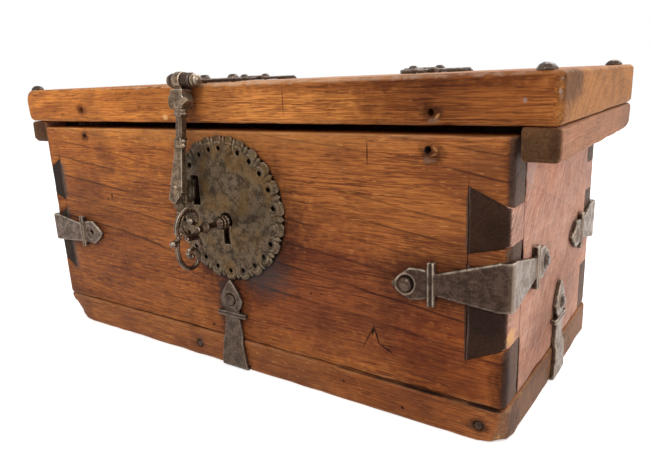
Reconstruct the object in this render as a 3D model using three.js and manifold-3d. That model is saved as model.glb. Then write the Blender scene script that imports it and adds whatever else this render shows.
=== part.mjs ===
// Small dovetailed strongbox: wooden boards with wrought iron straps, hinges, hasp and lock.
// Millimetres, +Z up. The origin is the centre of the base board's underside and the front
// faces -Y. The chest stands at rest with its lid shut, its hasp hanging a little outward and
// its key in the lock.
import * as THREE from 'three';
import { mergeVertices } from 'three/addons/utils/BufferGeometryUtils.js';
import Module from 'manifold-3d';

const wasm = await Module();
wasm.setup();

// Clearances and cutting
const fitGap = 0.3;
const overrun = 4;

// Chest boards
const bodyLength = 440;
const bodyDepth = 206;
const frontHeight = 162;
const lidSeatRise = 5;
const frontThickness = 23;
const backThickness = 24;
const rightThickness = 25;
const leftThickness = 19;
const bodyCornerRadius = 5;

// Dovetail pins: low and high edge of each, as shares of the front board's height, at the
// inner line of the side board and at the outer corner
const pinInnerShares = [[0.169, 0.546], [0.585, 0.828]];
const pinOuterShares = [[0.243, 0.463], [0.624, 0.758]];

// Base board
const baseThickness = 24.4;
const baseProudFront = 1.7;
const baseProudSide = 1.5;
const baseProudBack = 1;
const baseCornerRadius = 7;
const baseEase = 1.6;

// Lid board
const lidThickness = 28.2;
const lidOverhangSide = 23.3;
const lidOverhangBack = 5.4;
const lidCornerRadius = 5;
const lidEase = 2.5;

// Battens under the lid's ends
const battenWidth = 21.2;
const battenHeight = 19;
const battenSideGap = 1.9;
const battenFrontSetback = 2.2;
const battenFrontChamfer = 3;
const battenBackChamferRun = 12;
const battenBackChamferRise = 8;
const battenNailFrontInset = 8;
const battenNailBackInset = 24.4;

// Nails: domed heads on battens, flatter heads elsewhere, square tapered shanks drawn straight
const shankWidth = 2.6;
const domeHeadRadius = 6.3;
const domeHeadHeight = 3.6;
const strapHeadRadius = 5.1;
const strapHeadHeight = 2.6;
const strapNailLength = 20;
const lidNailLength = 24;
const battenNailLength = 42.5;
const plateHeadRadius = 4.5;
const plateHeadHeight = 2;
const plateNailLength = 16;
const baseHeadRadius = 3.4;
const baseHeadHeight = 1.2;
const baseNailLength = 18;
const headFacets = 9;

// Empty nail holes left in the boards
const emptyHoleRadius = 2.3;
const emptyHoleDepth = 10;
const frontHoleRightInset = 49.8;
const frontHoleRightDrop = 8.2;
const frontHoleLeftInset = 62.3;
const frontHoleLeftDrop = 6.7;
const lidHoleRightInset = 71.5;
const lidHoleRightRise = 7.5;
const lidHoleLeftInset = 85.8;
const lidHoleLeftRise = 10;
const baseNailLeftInset = 184.2;
const baseNailRightInset = 15.3;
const baseNailHeight = 11;

// Straps: a tapering band, a cross collar and a shield end with a nail through it
const strapThickness = 3;
const collarWidth = 4.6;
const collarHalf = 14.2;
const collarProud = 1;
const terminalLength = 27.4;
const shieldHalf = 10.5;
const nailFromTip = 10.3;
const neckHalf = 6.9;
const shieldShares = [[0, 0.84], [0.2, 0.97], [0.5, 1], [0.75, 0.62], [0.92, 0.28]];

// Corner straps
const frontRightStrapZ = 94.6;
const frontRightTiltShare = 0.11;
const frontLeftStrapZ = 92.3;
const backStrapZ = 98.6;
const frontRootHalf = 14.9;
const frontLeftRootHalf = 12.5;
const levelNeckShare = 0.8;
const frontRightReach = 73.6;
const frontLeftReach = 71;
const frontRightSideReach = 71;
const frontLeftSideReach = 82;
const backReach = 73.6;
const backSideReach = 72;
const cornerBendRadius = 3.5;
const openHoleRadius = 2.5;
const frontLeftHoleFromTip = 15.9;

// Bottom straps: cranked over the base's step and hooked under it
const bottomStrapX = 5.4;
const bottomStrapY = 7;
const bottomStrapTipGap = 0.1;
const bottomStrapNailFromTip = 16.3;
const bottomStrapCollarFromTip = 28.6;
const bottomStrapCollarHeight = 4;
const bottomStrapCollarHalf = 14.3;
const bottomStrapFootHalf = 13.1;
const bottomStrapNeckHalf = 7;
const bottomStrapLeafHalf = 11.2;
const bottomStrapHook = 20;
const bottomStrapLift = 0.2;
const bottomStrapBend = 2.5;
const bottomStrapCrank = 4;
const leafShares = [[0, 0.55], [0.15, 0.85], [0.34, 1], [0.6, 0.72], [0.85, 0.3]];

// Strap hinges
const hingeX = 99.5;
const hingePivotBehindLid = 5.5;
const hingePivotDrop = 1.6;
const hingeEyeRadius = 5;
const hingePinRadius = 1.9;
const hingePinHeadRadius = 3.2;
const hingePinHeadLength = 1.4;
const hingeRootHalf = 10;
const hingeCentreEyeHalf = 4;
const hingeNailFromTip = 15.5;
const hingeNotchInset = 0.2;
const rightHingeReach = 102.4;
const rightHingeRootNail = 38.4;
const leftHingeReach = 77.9;
const leftHingeRootNail = 30.4;
const leafStemSetback = 0.6;
const leafTopDrop = 5.5;
const leafCrankDrop = 7.2;
const leafReach = 93;

// Hasp: a plate with two clevis eyes on the lid, a pin, and an arm with a staple behind it
const haspX = -22;
const haspPivotAhead = 6;
const haspPivotRise = 2.8;
const haspLeanDegrees = 7.5;
const haspPinRadius = 2.5;
const haspPinLeftEnd = 12.2;
const haspPinRightEnd = 18.8;
const haspPinKnobRadius = 4.4;
const clevisEyeRadius = 5.4;
const clevisLeftOuter = 8.6;
const clevisInner = 3.9;
const clevisRightOuter = 12;
const haspPlateShift = 4;
const haspPlateHalf = 8;
const haspPlateReach = 52;
const haspPlateBarFrom = 7.7;
const haspPlateBarTo = 17;
const haspPlateNailFront = 14;
const haspPlateNailBack = 45;
const haspEyeRadius = 6.4;
const haspEyeHalf = 3.6;
const haspKnopTop = 6.5;
const haspKnopCollarBottom = 9.4;
const haspKnopWidest = 14.8;
const haspKnopBottom = 20.4;
const haspKnopHalf = 10.4;
const haspKnopEndHalf = 6.7;
const haspKnopFront = -7.2;
const haspKnopBack = 5.1;
const haspKnopDepthTaper = 1.3;
const haspKnopCorner = 2.8;
const haspRingHalf = 6.4;
const haspRingBottom = 25;
const haspRingGroove = 0.9;
const haspShankHalf = 3;
const haspShankFront = -3.8;
const haspShankBack = 3.6;
const haspDoubleRingHalf = 6.2;
const haspPlateBackOffset = 2.8;
const haspPlateThickness = 4.7;
const haspPlateTopLeft = 5;
const haspPlateWidestLeft = 12.2;
const haspPlateTipLeft = 5.8;
const haspPlateRight = 2.1;
const haspFacets = 10;

// Staple on the back of the hasp arm
const stapleHalf = 1.6;
const stapleTip = 12.6;
const stapleWindowFront = 6;
const stapleWindowBack = 10.4;
const stapleChamfer = 3.4;

// Lower half of the hasp: how far each place is above the key's axis when the arm hangs plumb
const doubleRingTopRise = 60.8;
const doubleRingBottomRise = 54.6;
const haspPlateRightCornerRise = 21.6;
const haspPlateWidestRise = 15.8;
const haspPlateBottomRise = 11.9;
const haspBossRise = 23.6;
const stapleTopRise = 30.8;
const stapleBottomRise = 13.8;
const stapleWindowTopRise = 25.9;
const stapleWindowBottomRise = 17.3;
const tenonHalf = 1.3;
const tenonHalfHeight = 3.2;
const haspBossLeft = 6.2;
const haspBossRadius = 3.4;
const haspBossHeight = 1.8;

// Lock plate
const lockX = 7;
const lockHeightShare = 0.637654;
const keyDrop = 7.9;
const plateThickness = 2.4;
const plateRadiusShare = 0.345679;
const plateFluteStep = 0.5;
const plateNotchStep = 3.2;
const plateLowerWear = 2.4;
const plateHoleInset = 9.4;
const plateHoleRadius = 2.1;
const plateAngles = [
  135.7, 118.7, 104.7, 92.2, 80, 69.1, 54.7, 39.9, 23.8, 7, -11, -26.5,
  -42.3, -57.1, -73.5, -89.6, -106.3, -122.8, -138, -152.5, -167, -181.5, -196, -210,
];
const plateNails = {
  lock_plate_nail_top: 80,
  lock_plate_nail_right: -11,
  lock_plate_nail_left: -181.5,
};
const keyholeRadius = 6.5;
const keyholeSlotHalf = 3.4;
const keyholeSlotDrop = 17.7;
const slotOffset = -29;
const slotHalf = 4;
const slotLow = 10.2;
const slotHigh = 33;

// Mortise behind the plate, measured from the key's axis
const mortiseLeft = 36.7;
const mortiseRight = 21.3;
const mortiseBelow = 26.2;
const mortiseAbove = 34;
const mortiseDepth = 16;

// Bolt: a C-shaped slider, measured from the key's axis and from the plate's back
const boltFront = 0.9;
const boltThickness = 3.2;
const boltLowBarTop = -8;
const boltLowBarBottom = -20.4;
const boltLeft = -17.2;
const boltRight = 19;
const boltRiserRight = -12.2;
const boltNotchLeft = -10.4;
const boltNotchRight = 2.4;
const boltNotchBottom = -17.4;
const boltTopBarBottom = 18.1;
const boltTopBarTop = 25.1;
const boltNose = -25.7;
const boltTopBarRight = 9;

// Keepers, spring and bridge
const lockIronThickness = 1.8;
const keeperClearance = 0.4;
const upperKeeperLeft = -6;
const upperKeeperRight = -1.5;
const lowerKeeperLeft = 5;
const lowerKeeperRight = 9;
const springFootLeft = 11;
const springFootRight = 15;
const springFootBottom = 18;
const springFootTop = 30;
const springLeafThickness = 0.9;
const springLeafEnd = -0.9;
const bridgeHalf = 4;
const bridgeWebFront = 11;
const bridgeThickness = 2;
const bridgeTop = 31;
const bridgeBottom = -25.2;

// Key and its pin
const keyBarrelRadius = 3.9;
const keyBoreRadius = 2;
const keyPinRadius = 1.7;
const keyPinHeadRadius = 3;
const keyPinHeadLength = 1.5;
const keyPinFront = 2;
const keyBarrelEnd = 10.4;
const keyBitStart = 1;
const keyBitLength = 8;
const keyBitHalf = 1.5;
const keyBitReach = 16.8;
const keyWardStart = 4.2;
const keyWardWidth = 1.2;
const keyWardDepth = 5;
const keyCollarRadius = 5.5;
const keyCollarStart = 3.1;
const keyCollarLength = 4.9;
const keyBallRadius = 4.8;
const keyNeckRadius = 2.25;
const keyNeckStart = 14;
const keyNeckEnd = 19;
const keyBalusterRadius = 4.25;
const keyBalusterEnd = 28;
const keyRoot = 31.5;
const bowSize = 44;
const bowStart = 28;
const bowStroke = 1.8;
const bowBall = 2.5;
const bowUpperShares = [
  [0.064, -0.018], [0.12, -0.059], [0.245, -0.057], [0.357, 0.014], [0.414, 0.136], [0.384, 0.252],
  [0.293, 0.332], [0.2, 0.355], [0.105, 0.3], [0.068, 0.214], [0.095, 0.141], [0.164, 0.12], [0.193, 0.177],
];
const bowBackShares = [[0.266, 0.389], [0.405, 0.309], [0.477, 0.211], [0.505, 0.125], [0.51, 0.023]];
const bowLowerShares = [
  [0.44, 0.036], [0.498, -0.068], [0.527, -0.177], [0.52, -0.295], [0.48, -0.434], [0.384, -0.55],
  [0.266, -0.584], [0.155, -0.543], [0.109, -0.441], [0.148, -0.325], [0.234, -0.27], [0.309, -0.298],
  [0.309, -0.37], [0.25, -0.395],
];
const bowLeafShares = [[0.325, -0.09], [0.214, -0.105], [0.08, -0.12], [0.085, -0.2], [0.025, -0.27]];
const bowFinialShares = [[0.507, -0.066], [0.6, -0.105]];

// Places worked out from the sizes above
const halfLength = bodyLength / 2;
const frontY = -bodyDepth / 2;
const backY = bodyDepth / 2;
const carcassBottom = baseThickness + fitGap;
const frontTop = carcassBottom + frontHeight;
const sideTop = frontTop + lidSeatRise;
const lidBottom = sideTop + fitGap;
const lidTop = lidBottom + lidThickness;
const lidBack = backY + lidOverhangBack;
const lidHalfLength = halfLength + lidOverhangSide;
const baseFront = frontY - baseProudFront;
const strapOnLid = lidTop + fitGap + strapThickness;
const hingePivotY = lidBack + hingePivotBehindLid;
const hingePivotZ = lidTop - hingePivotDrop;
const haspPivotY = frontY - haspPivotAhead;
const haspPivotZ = lidTop + haspPivotRise;
const lockZ = carcassBottom + frontHeight * lockHeightShare;
const keyZ = lockZ - keyDrop;
const plateBack = -fitGap;
const plateFront = plateBack - plateThickness;
const plateLobeRadius = frontHeight * plateRadiusShare;
const plateFluteRadius = plateLobeRadius - plateFluteStep;
const plateNotchRadius = plateLobeRadius - plateNotchStep;
const plateHoleCircle = plateLobeRadius - plateHoleInset;
const bottomStrapTip = lockZ - plateLobeRadius + plateLowerWear - bottomStrapTipGap;
const bottomStrapNailZ = bottomStrapTip - bottomStrapNailFromTip;
const bottomStrapCollarZ = bottomStrapTip - bottomStrapCollarFromTip;
const haspDrop = haspPivotZ - keyZ;
const haspDoubleRingTop = haspDrop - doubleRingTopRise;
const haspDoubleRingBottom = haspDrop - doubleRingBottomRise;
const haspPlateRightCorner = haspDrop - haspPlateRightCornerRise;
const haspPlateWidestAt = haspDrop - haspPlateWidestRise;
const haspPlateBottom = haspDrop - haspPlateBottomRise;
const haspBossDrop = haspDrop - haspBossRise;
const stapleTop = haspDrop - stapleTopRise;
const stapleBottom = haspDrop - stapleBottomRise;
const stapleWindowTop = haspDrop - stapleWindowTopRise;
const stapleWindowBottom = haspDrop - stapleWindowBottomRise;
const battenInner = halfLength + battenSideGap;
const battenOuter = battenInner + battenWidth;
const battenFront = frontY + battenFrontSetback;
const battenTop = lidBottom - fitGap;
const battenBottom = battenTop - battenHeight;

// Finishes of the CAD view
const lidWood = { color: 0xa9662f, roughness: 0.5, metalness: 0 };
const bodyWood = { color: 0x9c5a2b, roughness: 0.5, metalness: 0 };
const sideWood = { color: 0x8c4f3a, roughness: 0.6, metalness: 0 };
const darkIron = { color: 0x4b443e, roughness: 0.6, metalness: 0.8 };
const paleIron = { color: 0x777069, roughness: 0.4, metalness: 0.9 };

// A closed geometry as a solid that can be joined and cut
function toSolid(geometry) {
  const bare = new THREE.BufferGeometry();
  bare.setAttribute('position', geometry.getAttribute('position'));
  if (geometry.index) bare.setIndex(geometry.index);
  const merged = mergeVertices(bare);
  const source = merged.index.array;
  const kept = [];
  for (let i = 0; i < source.length; i += 3) {
    const [a, b, c] = [source[i], source[i + 1], source[i + 2]];
    if (a !== b && b !== c && c !== a) kept.push(a, b, c);
  }
  return new wasm.Manifold(new wasm.Mesh({
    numProp: 3,
    vertProperties: merged.getAttribute('position').array,
    triVerts: new Uint32Array(kept),
  }));
}

// A solid as a flat-shaded geometry
function toGeometry(solid) {
  const mesh = solid.getMesh();
  const indexed = new THREE.BufferGeometry();
  indexed.setAttribute('position', new THREE.BufferAttribute(mesh.vertProperties, 3));
  indexed.setIndex(new THREE.BufferAttribute(mesh.triVerts, 1));
  const flat = indexed.toNonIndexed();
  flat.computeVertexNormals();
  return flat;
}

function piece(name, solid, finish) {
  const mesh = new THREE.Mesh(toGeometry(solid), new THREE.MeshStandardMaterial(finish));
  mesh.name = name;
  return mesh;
}

function joined(solids) {
  return solids.reduce((whole, next) => whole.add(next));
}

function block(x0, x1, y0, y1, z0, z1) {
  const geometry = new THREE.BoxGeometry(Math.abs(x1 - x0), Math.abs(y1 - y0), Math.abs(z1 - z0));
  geometry.translate((x0 + x1) / 2, (y0 + y1) / 2, (z0 + z1) / 2);
  return toSolid(geometry);
}

function shapeOf(points) {
  return new THREE.Shape(points.map(([a, b]) => new THREE.Vector2(a, b)));
}

// An outline extruded along one axis. Its two coordinates are (y, z) along x, (x, z) along y
// and (x, y) along z.
function prism(points, axis, from, to) {
  const low = Math.min(from, to);
  const high = Math.max(from, to);
  const geometry = new THREE.ExtrudeGeometry(shapeOf(points), { depth: high - low, bevelEnabled: false });
  const right = new THREE.Vector3(axis === 'x' ? 0 : 1, axis === 'x' ? 1 : 0, 0);
  const up = new THREE.Vector3(0, axis === 'z' ? 1 : 0, axis === 'z' ? 0 : 1);
  const along = new THREE.Vector3().crossVectors(right, up);
  const place = new THREE.Matrix4().makeBasis(right, up, along);
  const start = axis === 'y' ? high : low;
  place.setPosition(Math.abs(along.x) * start, Math.abs(along.y) * start, Math.abs(along.z) * start);
  geometry.applyMatrix4(place);
  return toSolid(geometry);
}

function arcPoints(centreA, centreB, radius, fromDegrees, toDegrees, steps) {
  const points = [];
  for (let i = 0; i <= steps; i += 1) {
    const angle = THREE.MathUtils.degToRad(fromDegrees + (toDegrees - fromDegrees) * i / steps);
    points.push([centreA + radius * Math.cos(angle), centreB + radius * Math.sin(angle)]);
  }
  return points;
}

function circle(centreA, centreB, radius, sides) {
  return arcPoints(centreA, centreB, radius, 0, 360, sides).slice(0, sides);
}

function roundedRectangle(x0, x1, y0, y1, radius) {
  const steps = 3;
  return [
    ...arcPoints(x1 - radius, y0 + radius, radius, -90, 0, steps),
    ...arcPoints(x1 - radius, y1 - radius, radius, 0, 90, steps),
    ...arcPoints(x0 + radius, y1 - radius, radius, 90, 180, steps),
    ...arcPoints(x0 + radius, y0 + radius, radius, 180, 270, steps),
  ];
}

// A board lying flat, with its edges eased all round
function easedSlab(points, bottom, thickness, ease) {
  const geometry = new THREE.ExtrudeGeometry(shapeOf(points), {
    depth: thickness - 2 * ease,
    bevelThickness: ease,
    bevelSize: ease,
    bevelOffset: -ease,
    bevelSegments: 2,
  });
  geometry.translate(0, 0, bottom + ease);
  return toSolid(geometry);
}

// A profile of [radius, height] turned round the Z axis, flattened along Y if asked
function turned(profile, sides, flatten = 1) {
  const geometry = new THREE.LatheGeometry(profile.map(([r, h]) => new THREE.Vector2(r, h)), sides);
  geometry.rotateX(Math.PI / 2);
  geometry.scale(1, flatten, 1);
  return toSolid(geometry);
}

// Nails. A nail is described by the point its head rests on and the way its head faces.
function nailSolid(kind) {
  const low = fitGap;
  const head = turned([
    [0, low],
    [kind.radius, low],
    [kind.radius, low + kind.height * 0.25],
    [kind.radius * 0.7, low + kind.height * 0.8],
    [kind.radius * 0.3, low + kind.height],
    [0, low + kind.height],
  ], headFacets);
  const half = shankWidth / 2;
  return head.add(block(-half, half, -half, half, -kind.length, low + kind.height / 2));
}

function nailPiece(nail) {
  const mesh = piece(nail.name, nailSolid(nail.kind), darkIron);
  mesh.position.set(...nail.seat);
  mesh.quaternion.setFromUnitVectors(new THREE.Vector3(0, 0, 1), new THREE.Vector3(...nail.out));
  return mesh;
}

// The square hole that a nail's shank needs in all it passes through
function nailHole(nail) {
  const half = shankWidth / 2 + fitGap;
  const seat = new THREE.Vector3(...nail.seat);
  const out = new THREE.Vector3(...nail.out);
  const mouth = seat.clone().addScaledVector(out, overrun);
  const end = seat.clone().addScaledVector(out, -nail.kind.length - fitGap);
  const span = (axis) => (out[axis] === 0
    ? [seat[axis] - half, seat[axis] + half]
    : [Math.min(mouth[axis], end[axis]), Math.max(mouth[axis], end[axis])]);
  return block(...span('x'), ...span('y'), ...span('z'));
}

const domeNail = { radius: domeHeadRadius, height: domeHeadHeight, length: battenNailLength };
const strapNail = { radius: strapHeadRadius, height: strapHeadHeight, length: strapNailLength };
const lidNail = { radius: strapHeadRadius, height: strapHeadHeight, length: lidNailLength };
const plateNail = { radius: plateHeadRadius, height: plateHeadHeight, length: plateNailLength };
const baseNail = { radius: baseHeadRadius, height: baseHeadHeight, length: baseNailLength };

// Corner straps: which corner, how high the tip on the front or back is, how far that leg climbs
// towards the corner, and the two legs
const wideLeg = { rootUp: frontRootHalf, rootDown: frontRootHalf, neckDown: neckHalf };
const levelLeg = {
  rootUp: frontLeftRootHalf,
  rootDown: frontLeftRootHalf,
  neckDown: frontLeftRootHalf * levelNeckShare,
};
const cornerStraps = [
  {
    name: 'corner_strap_front_right', sideX: 1, sideY: -1,
    z: frontRightStrapZ, tiltShare: frontRightTiltShare,
    face: { ...wideLeg, reach: frontRightReach, hole: nailFromTip, nail: 'corner_nail_front_right_front' },
    side: { ...wideLeg, reach: frontRightSideReach, hole: nailFromTip, nail: 'corner_nail_front_right_side' },
  },
  {
    name: 'corner_strap_front_left', sideX: -1, sideY: -1,
    z: frontLeftStrapZ, tiltShare: 0,
    face: { ...levelLeg, reach: frontLeftReach, hole: frontLeftHoleFromTip, nail: '' },
    side: { ...levelLeg, reach: frontLeftSideReach, hole: nailFromTip, nail: 'corner_nail_front_left_side' },
  },
  {
    name: 'corner_strap_back_right', sideX: 1, sideY: 1,
    z: backStrapZ, tiltShare: 0,
    face: { ...wideLeg, reach: backReach, hole: nailFromTip, nail: 'corner_nail_back_right_back' },
    side: { ...wideLeg, reach: backSideReach, hole: nailFromTip, nail: '' },
  },
  {
    name: 'corner_strap_back_left', sideX: -1, sideY: 1,
    z: backStrapZ, tiltShare: 0,
    face: { ...wideLeg, reach: backReach, hole: nailFromTip, nail: 'corner_nail_back_left_back' },
    side: { ...wideLeg, reach: backSideReach, hole: nailFromTip, nail: 'corner_nail_back_left_side' },
  },
];

// How high the middle of a corner strap is, at a distance from its corner along the front or back
function strapHeight(strap, fromCorner) {
  return strap.z + strap.tiltShare * (strap.face.reach - fromCorner);
}

// Where the hole of a corner strap's leg is, seen on the strap's outer face
function faceSeat(strap) {
  const fromCorner = strap.face.reach - strap.face.hole;
  const y = strap.sideY * (backY + fitGap + strapThickness);
  return [strap.sideX * (halfLength - fromCorner), y, strapHeight(strap, fromCorner)];
}

function sideSeat(strap) {
  const y = strap.sideY * (backY - strap.side.reach + strap.side.hole);
  return [strap.sideX * (halfLength + fitGap + strapThickness), y, strapHeight(strap, 0)];
}

function cornerNails() {
  const nails = [];
  for (const strap of cornerStraps) {
    nails.push({ name: strap.face.nail, seat: faceSeat(strap), out: [0, strap.sideY, 0], kind: strapNail });
    nails.push({ name: strap.side.nail, seat: sideSeat(strap), out: [strap.sideX, 0, 0], kind: strapNail });
  }
  return nails.filter((nail) => nail.name);
}

// Holes that have lost their nail, through a strap and into the wood behind it
function openStrapHoles() {
  const holes = [];
  for (const strap of cornerStraps) {
    const depth = strapThickness + emptyHoleDepth;
    if (!strap.face.nail) {
      const [x, y, z] = faceSeat(strap);
      const [mouth, end] = [y + strap.sideY * overrun, y - strap.sideY * depth];
      holes.push(prism(circle(x, z, openHoleRadius, 8), 'y', mouth, end));
    }
    if (!strap.side.nail) {
      const [x, y, z] = sideSeat(strap);
      const [mouth, end] = [x + strap.sideX * overrun, x - strap.sideX * depth];
      holes.push(prism(circle(y, z, openHoleRadius, 8), 'x', mouth, end));
    }
  }
  return holes;
}

// Bottom straps: the front one, and one at each side
const bottomStraps = [
  {
    name: 'bottom_strap_front', place: [bottomStrapX, frontY],
    turn: 0, out: [0, -1, 0], proud: baseProudFront,
  },
  {
    name: 'bottom_strap_right', place: [halfLength, bottomStrapY],
    turn: 90, out: [1, 0, 0], proud: baseProudSide,
  },
  {
    name: 'bottom_strap_left', place: [-halfLength, bottomStrapY],
    turn: -90, out: [-1, 0, 0], proud: baseProudSide,
  },
];

function bottomNails() {
  return bottomStraps.map((strap) => {
    const stand = fitGap + strapThickness;
    const [x, y] = strap.place;
    const seat = [x + strap.out[0] * stand, y + strap.out[1] * stand, bottomStrapNailZ];
    return { name: strap.name.replace('strap', 'nail'), seat, out: strap.out, kind: strapNail };
  });
}

// Hinges
const hinges = [
  { side: 'right', x: hingeX, reach: rightHingeReach, rootNail: rightHingeRootNail },
  { side: 'left', x: -hingeX, reach: leftHingeReach, rootNail: leftHingeRootNail },
];
const leafTop = hingePivotZ - leafTopDrop;
const leafFront = backY + fitGap;
const leafStemFront = lidBack + leafStemSetback;
const leafCrankTop = sideTop - fitGap;

function hingeNails() {
  return hinges.flatMap((hinge) => [
    {
      name: `hinge_strap_${hinge.side}_nail_front`,
      seat: [hinge.x, lidBack - hinge.reach + hingeNailFromTip, strapOnLid],
      out: [0, 0, 1],
      kind: lidNail,
    },
    {
      name: `hinge_strap_${hinge.side}_nail_back`,
      seat: [hinge.x, lidBack - hinge.rootNail, strapOnLid],
      out: [0, 0, 1],
      kind: lidNail,
    },
  ]);
}

function leafNails() {
  return hinges.map((hinge) => ({
    name: `hinge_leaf_${hinge.side}_nail`,
    seat: [hinge.x, leafFront + strapThickness, leafTop - leafReach + nailFromTip],
    out: [0, 1, 0],
    kind: strapNail,
  }));
}

function battenNails() {
  const nails = [];
  const front = frontY + battenNailFrontInset;
  const back = lidBack - battenNailBackInset;
  for (const [side, sign] of [['right', 1], ['left', -1]]) {
    const x = sign * (battenInner + battenWidth / 2);
    for (const [end, y] of [['front', front], ['back', back]]) {
      const name = `batten_nail_${side}_${end}`;
      nails.push({ name, seat: [x, y, lidTop], out: [0, 0, 1], kind: domeNail });
    }
  }
  return nails;
}

function haspPlateNails() {
  const x = haspX + haspPlateShift;
  return [['front', haspPlateNailFront], ['back', haspPlateNailBack]].map(([end, inset]) => ({
    name: `hasp_plate_nail_${end}`,
    seat: [x, frontY + inset, strapOnLid],
    out: [0, 0, 1],
    kind: lidNail,
  }));
}

function lockPlateNails() {
  return Object.entries(plateNails).map(([name, degrees]) => {
    const [[x, z]] = arcPoints(lockX, lockZ, plateHoleCircle, degrees, degrees, 1);
    return { name, seat: [x, frontY + plateFront, z], out: [0, -1, 0], kind: plateNail };
  });
}

function baseNails() {
  const places = [['left', baseNailLeftInset - halfLength], ['right', halfLength - baseNailRightInset]];
  return places.map(([side, x]) => ({
    name: `base_nail_${side}`,
    seat: [x, baseFront + baseHeadHeight + fitGap, baseNailHeight],
    out: [0, -1, 0],
    kind: baseNail,
  }));
}

const chestNails = [...cornerNails(), ...bottomNails(), ...leafNails(), ...lockPlateNails()];
const lidNails = [...battenNails(), ...hingeNails(), ...haspPlateNails()];
const chestHoles = joined([...chestNails.map(nailHole), ...openStrapHoles()]);
const lidHoles = joined(lidNails.map(nailHole));

// Dovetails. The pins belong to the side boards and pass through the front and back boards.
function pinOutline(side, thickness, pin, grow, outward) {
  const inner = halfLength - thickness - grow;
  const outer = halfLength + outward;
  const edge = (end, reach) => {
    const share = (reach - halfLength + thickness) / thickness;
    const height = THREE.MathUtils.lerp(pinInnerShares[pin][end], pinOuterShares[pin][end], share);
    return carcassBottom + frontHeight * height + (end === 0 ? -grow : grow);
  };
  return [
    [side * inner, edge(0, inner)],
    [side * outer, edge(0, outer)],
    [side * outer, edge(1, outer)],
    [side * inner, edge(1, inner)],
  ];
}

function pinSockets(from, to) {
  const sockets = [];
  for (const [side, thickness] of [[1, rightThickness], [-1, leftThickness]]) {
    for (let pin = 0; pin < pinInnerShares.length; pin += 1) {
      const outline = pinOutline(side, thickness, pin, fitGap, overrun);
      sockets.push(prism(outline, 'y', from - overrun, to + overrun));
    }
  }
  return joined(sockets);
}

function carcassPlan() {
  const outline = roundedRectangle(-halfLength, halfLength, frontY, backY, bodyCornerRadius);
  return prism(outline, 'z', 0, lidTop);
}

function emptyHole(x, y, z) {
  return prism(circle(x, z, emptyHoleRadius, 8), 'y', y - overrun, y + emptyHoleDepth);
}

function mortise() {
  const front = frontY - overrun;
  const back = frontY + mortiseDepth;
  return block(
    lockX - mortiseLeft, lockX + mortiseRight, front, back, keyZ - mortiseBelow, keyZ + mortiseAbove,
  );
}

function frontBoard() {
  const back = frontY + frontThickness;
  const holes = joined([
    emptyHole(halfLength - frontHoleRightInset, frontY, frontTop - frontHoleRightDrop),
    emptyHole(frontHoleLeftInset - halfLength, frontY, frontTop - frontHoleLeftDrop),
    mortise(),
  ]);
  const board = block(-halfLength, halfLength, frontY, back, carcassBottom, frontTop)
    .subtract(pinSockets(frontY, back))
    .intersect(carcassPlan())
    .subtract(holes)
    .subtract(chestHoles);
  return piece('front_board', board, bodyWood);
}

function backBoard() {
  const front = backY - backThickness;
  const board = block(-halfLength, halfLength, front, backY, carcassBottom, sideTop)
    .subtract(pinSockets(front, backY))
    .intersect(carcassPlan())
    .subtract(chestHoles);
  return piece('back_board', board, bodyWood);
}

function sideBoard(name, side, thickness) {
  const front = frontY + frontThickness + fitGap;
  const back = backY - backThickness - fitGap;
  const inner = side * (halfLength - thickness);
  let board = block(inner, side * halfLength, front, back, carcassBottom, sideTop);
  for (let pin = 0; pin < pinInnerShares.length; pin += 1) {
    board = board.add(prism(pinOutline(side, thickness, pin, 0, 0), 'y', frontY, backY));
  }
  const inside = block(inner, 0, front + overrun, back - overrun, 0, lidTop);
  return piece(name, board.intersect(carcassPlan()).subtract(inside).subtract(chestHoles), sideWood);
}

function baseBoard() {
  const side = halfLength + baseProudSide;
  const outline = roundedRectangle(-side, side, baseFront, backY + baseProudBack, baseCornerRadius);
  let board = easedSlab(outline, 0, baseThickness, baseEase);
  const recessTop = bottomStrapLift + strapThickness + fitGap;
  const half = bottomStrapFootHalf + fitGap;
  for (const strap of bottomStraps) {
    const recess = block(-half, half, -strap.proud - overrun, bottomStrapHook + fitGap, -overrun, recessTop);
    const [x, y] = strap.place;
    board = board.subtract(recess.rotate([0, 0, strap.turn]).translate([x, y, 0]));
  }
  for (const nail of baseNails()) {
    const [x, y, z] = nail.seat;
    const mouth = prism(circle(x, z, baseHeadRadius + fitGap, 12), 'y', baseFront - overrun, y);
    board = board.subtract(nailHole(nail)).subtract(mouth);
  }
  return piece('base_board', board, bodyWood);
}

function lidBoard() {
  const outline = roundedRectangle(-lidHalfLength, lidHalfLength, frontY, lidBack, lidCornerRadius);
  const rightHole = emptyHole(lidHalfLength - lidHoleRightInset, frontY, lidBottom + lidHoleRightRise);
  const leftHole = emptyHole(lidHoleLeftInset - lidHalfLength, frontY, lidBottom + lidHoleLeftRise);
  const board = easedSlab(outline, lidBottom, lidThickness, lidEase)
    .subtract(rightHole)
    .subtract(leftHole)
    .subtract(lidHoles);
  return piece('lid_board', board, lidWood);
}

function batten(name, side) {
  const outline = [
    [battenFront, battenTop],
    [battenFront, battenBottom + battenFrontChamfer],
    [battenFront + battenFrontChamfer, battenBottom],
    [lidBack - battenBackChamferRun, battenBottom],
    [lidBack, battenBottom + battenBackChamferRise],
    [lidBack, battenTop],
  ];
  return piece(name, prism(outline, 'x', side * battenInner, side * battenOuter).subtract(lidHoles), lidWood);
}

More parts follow.
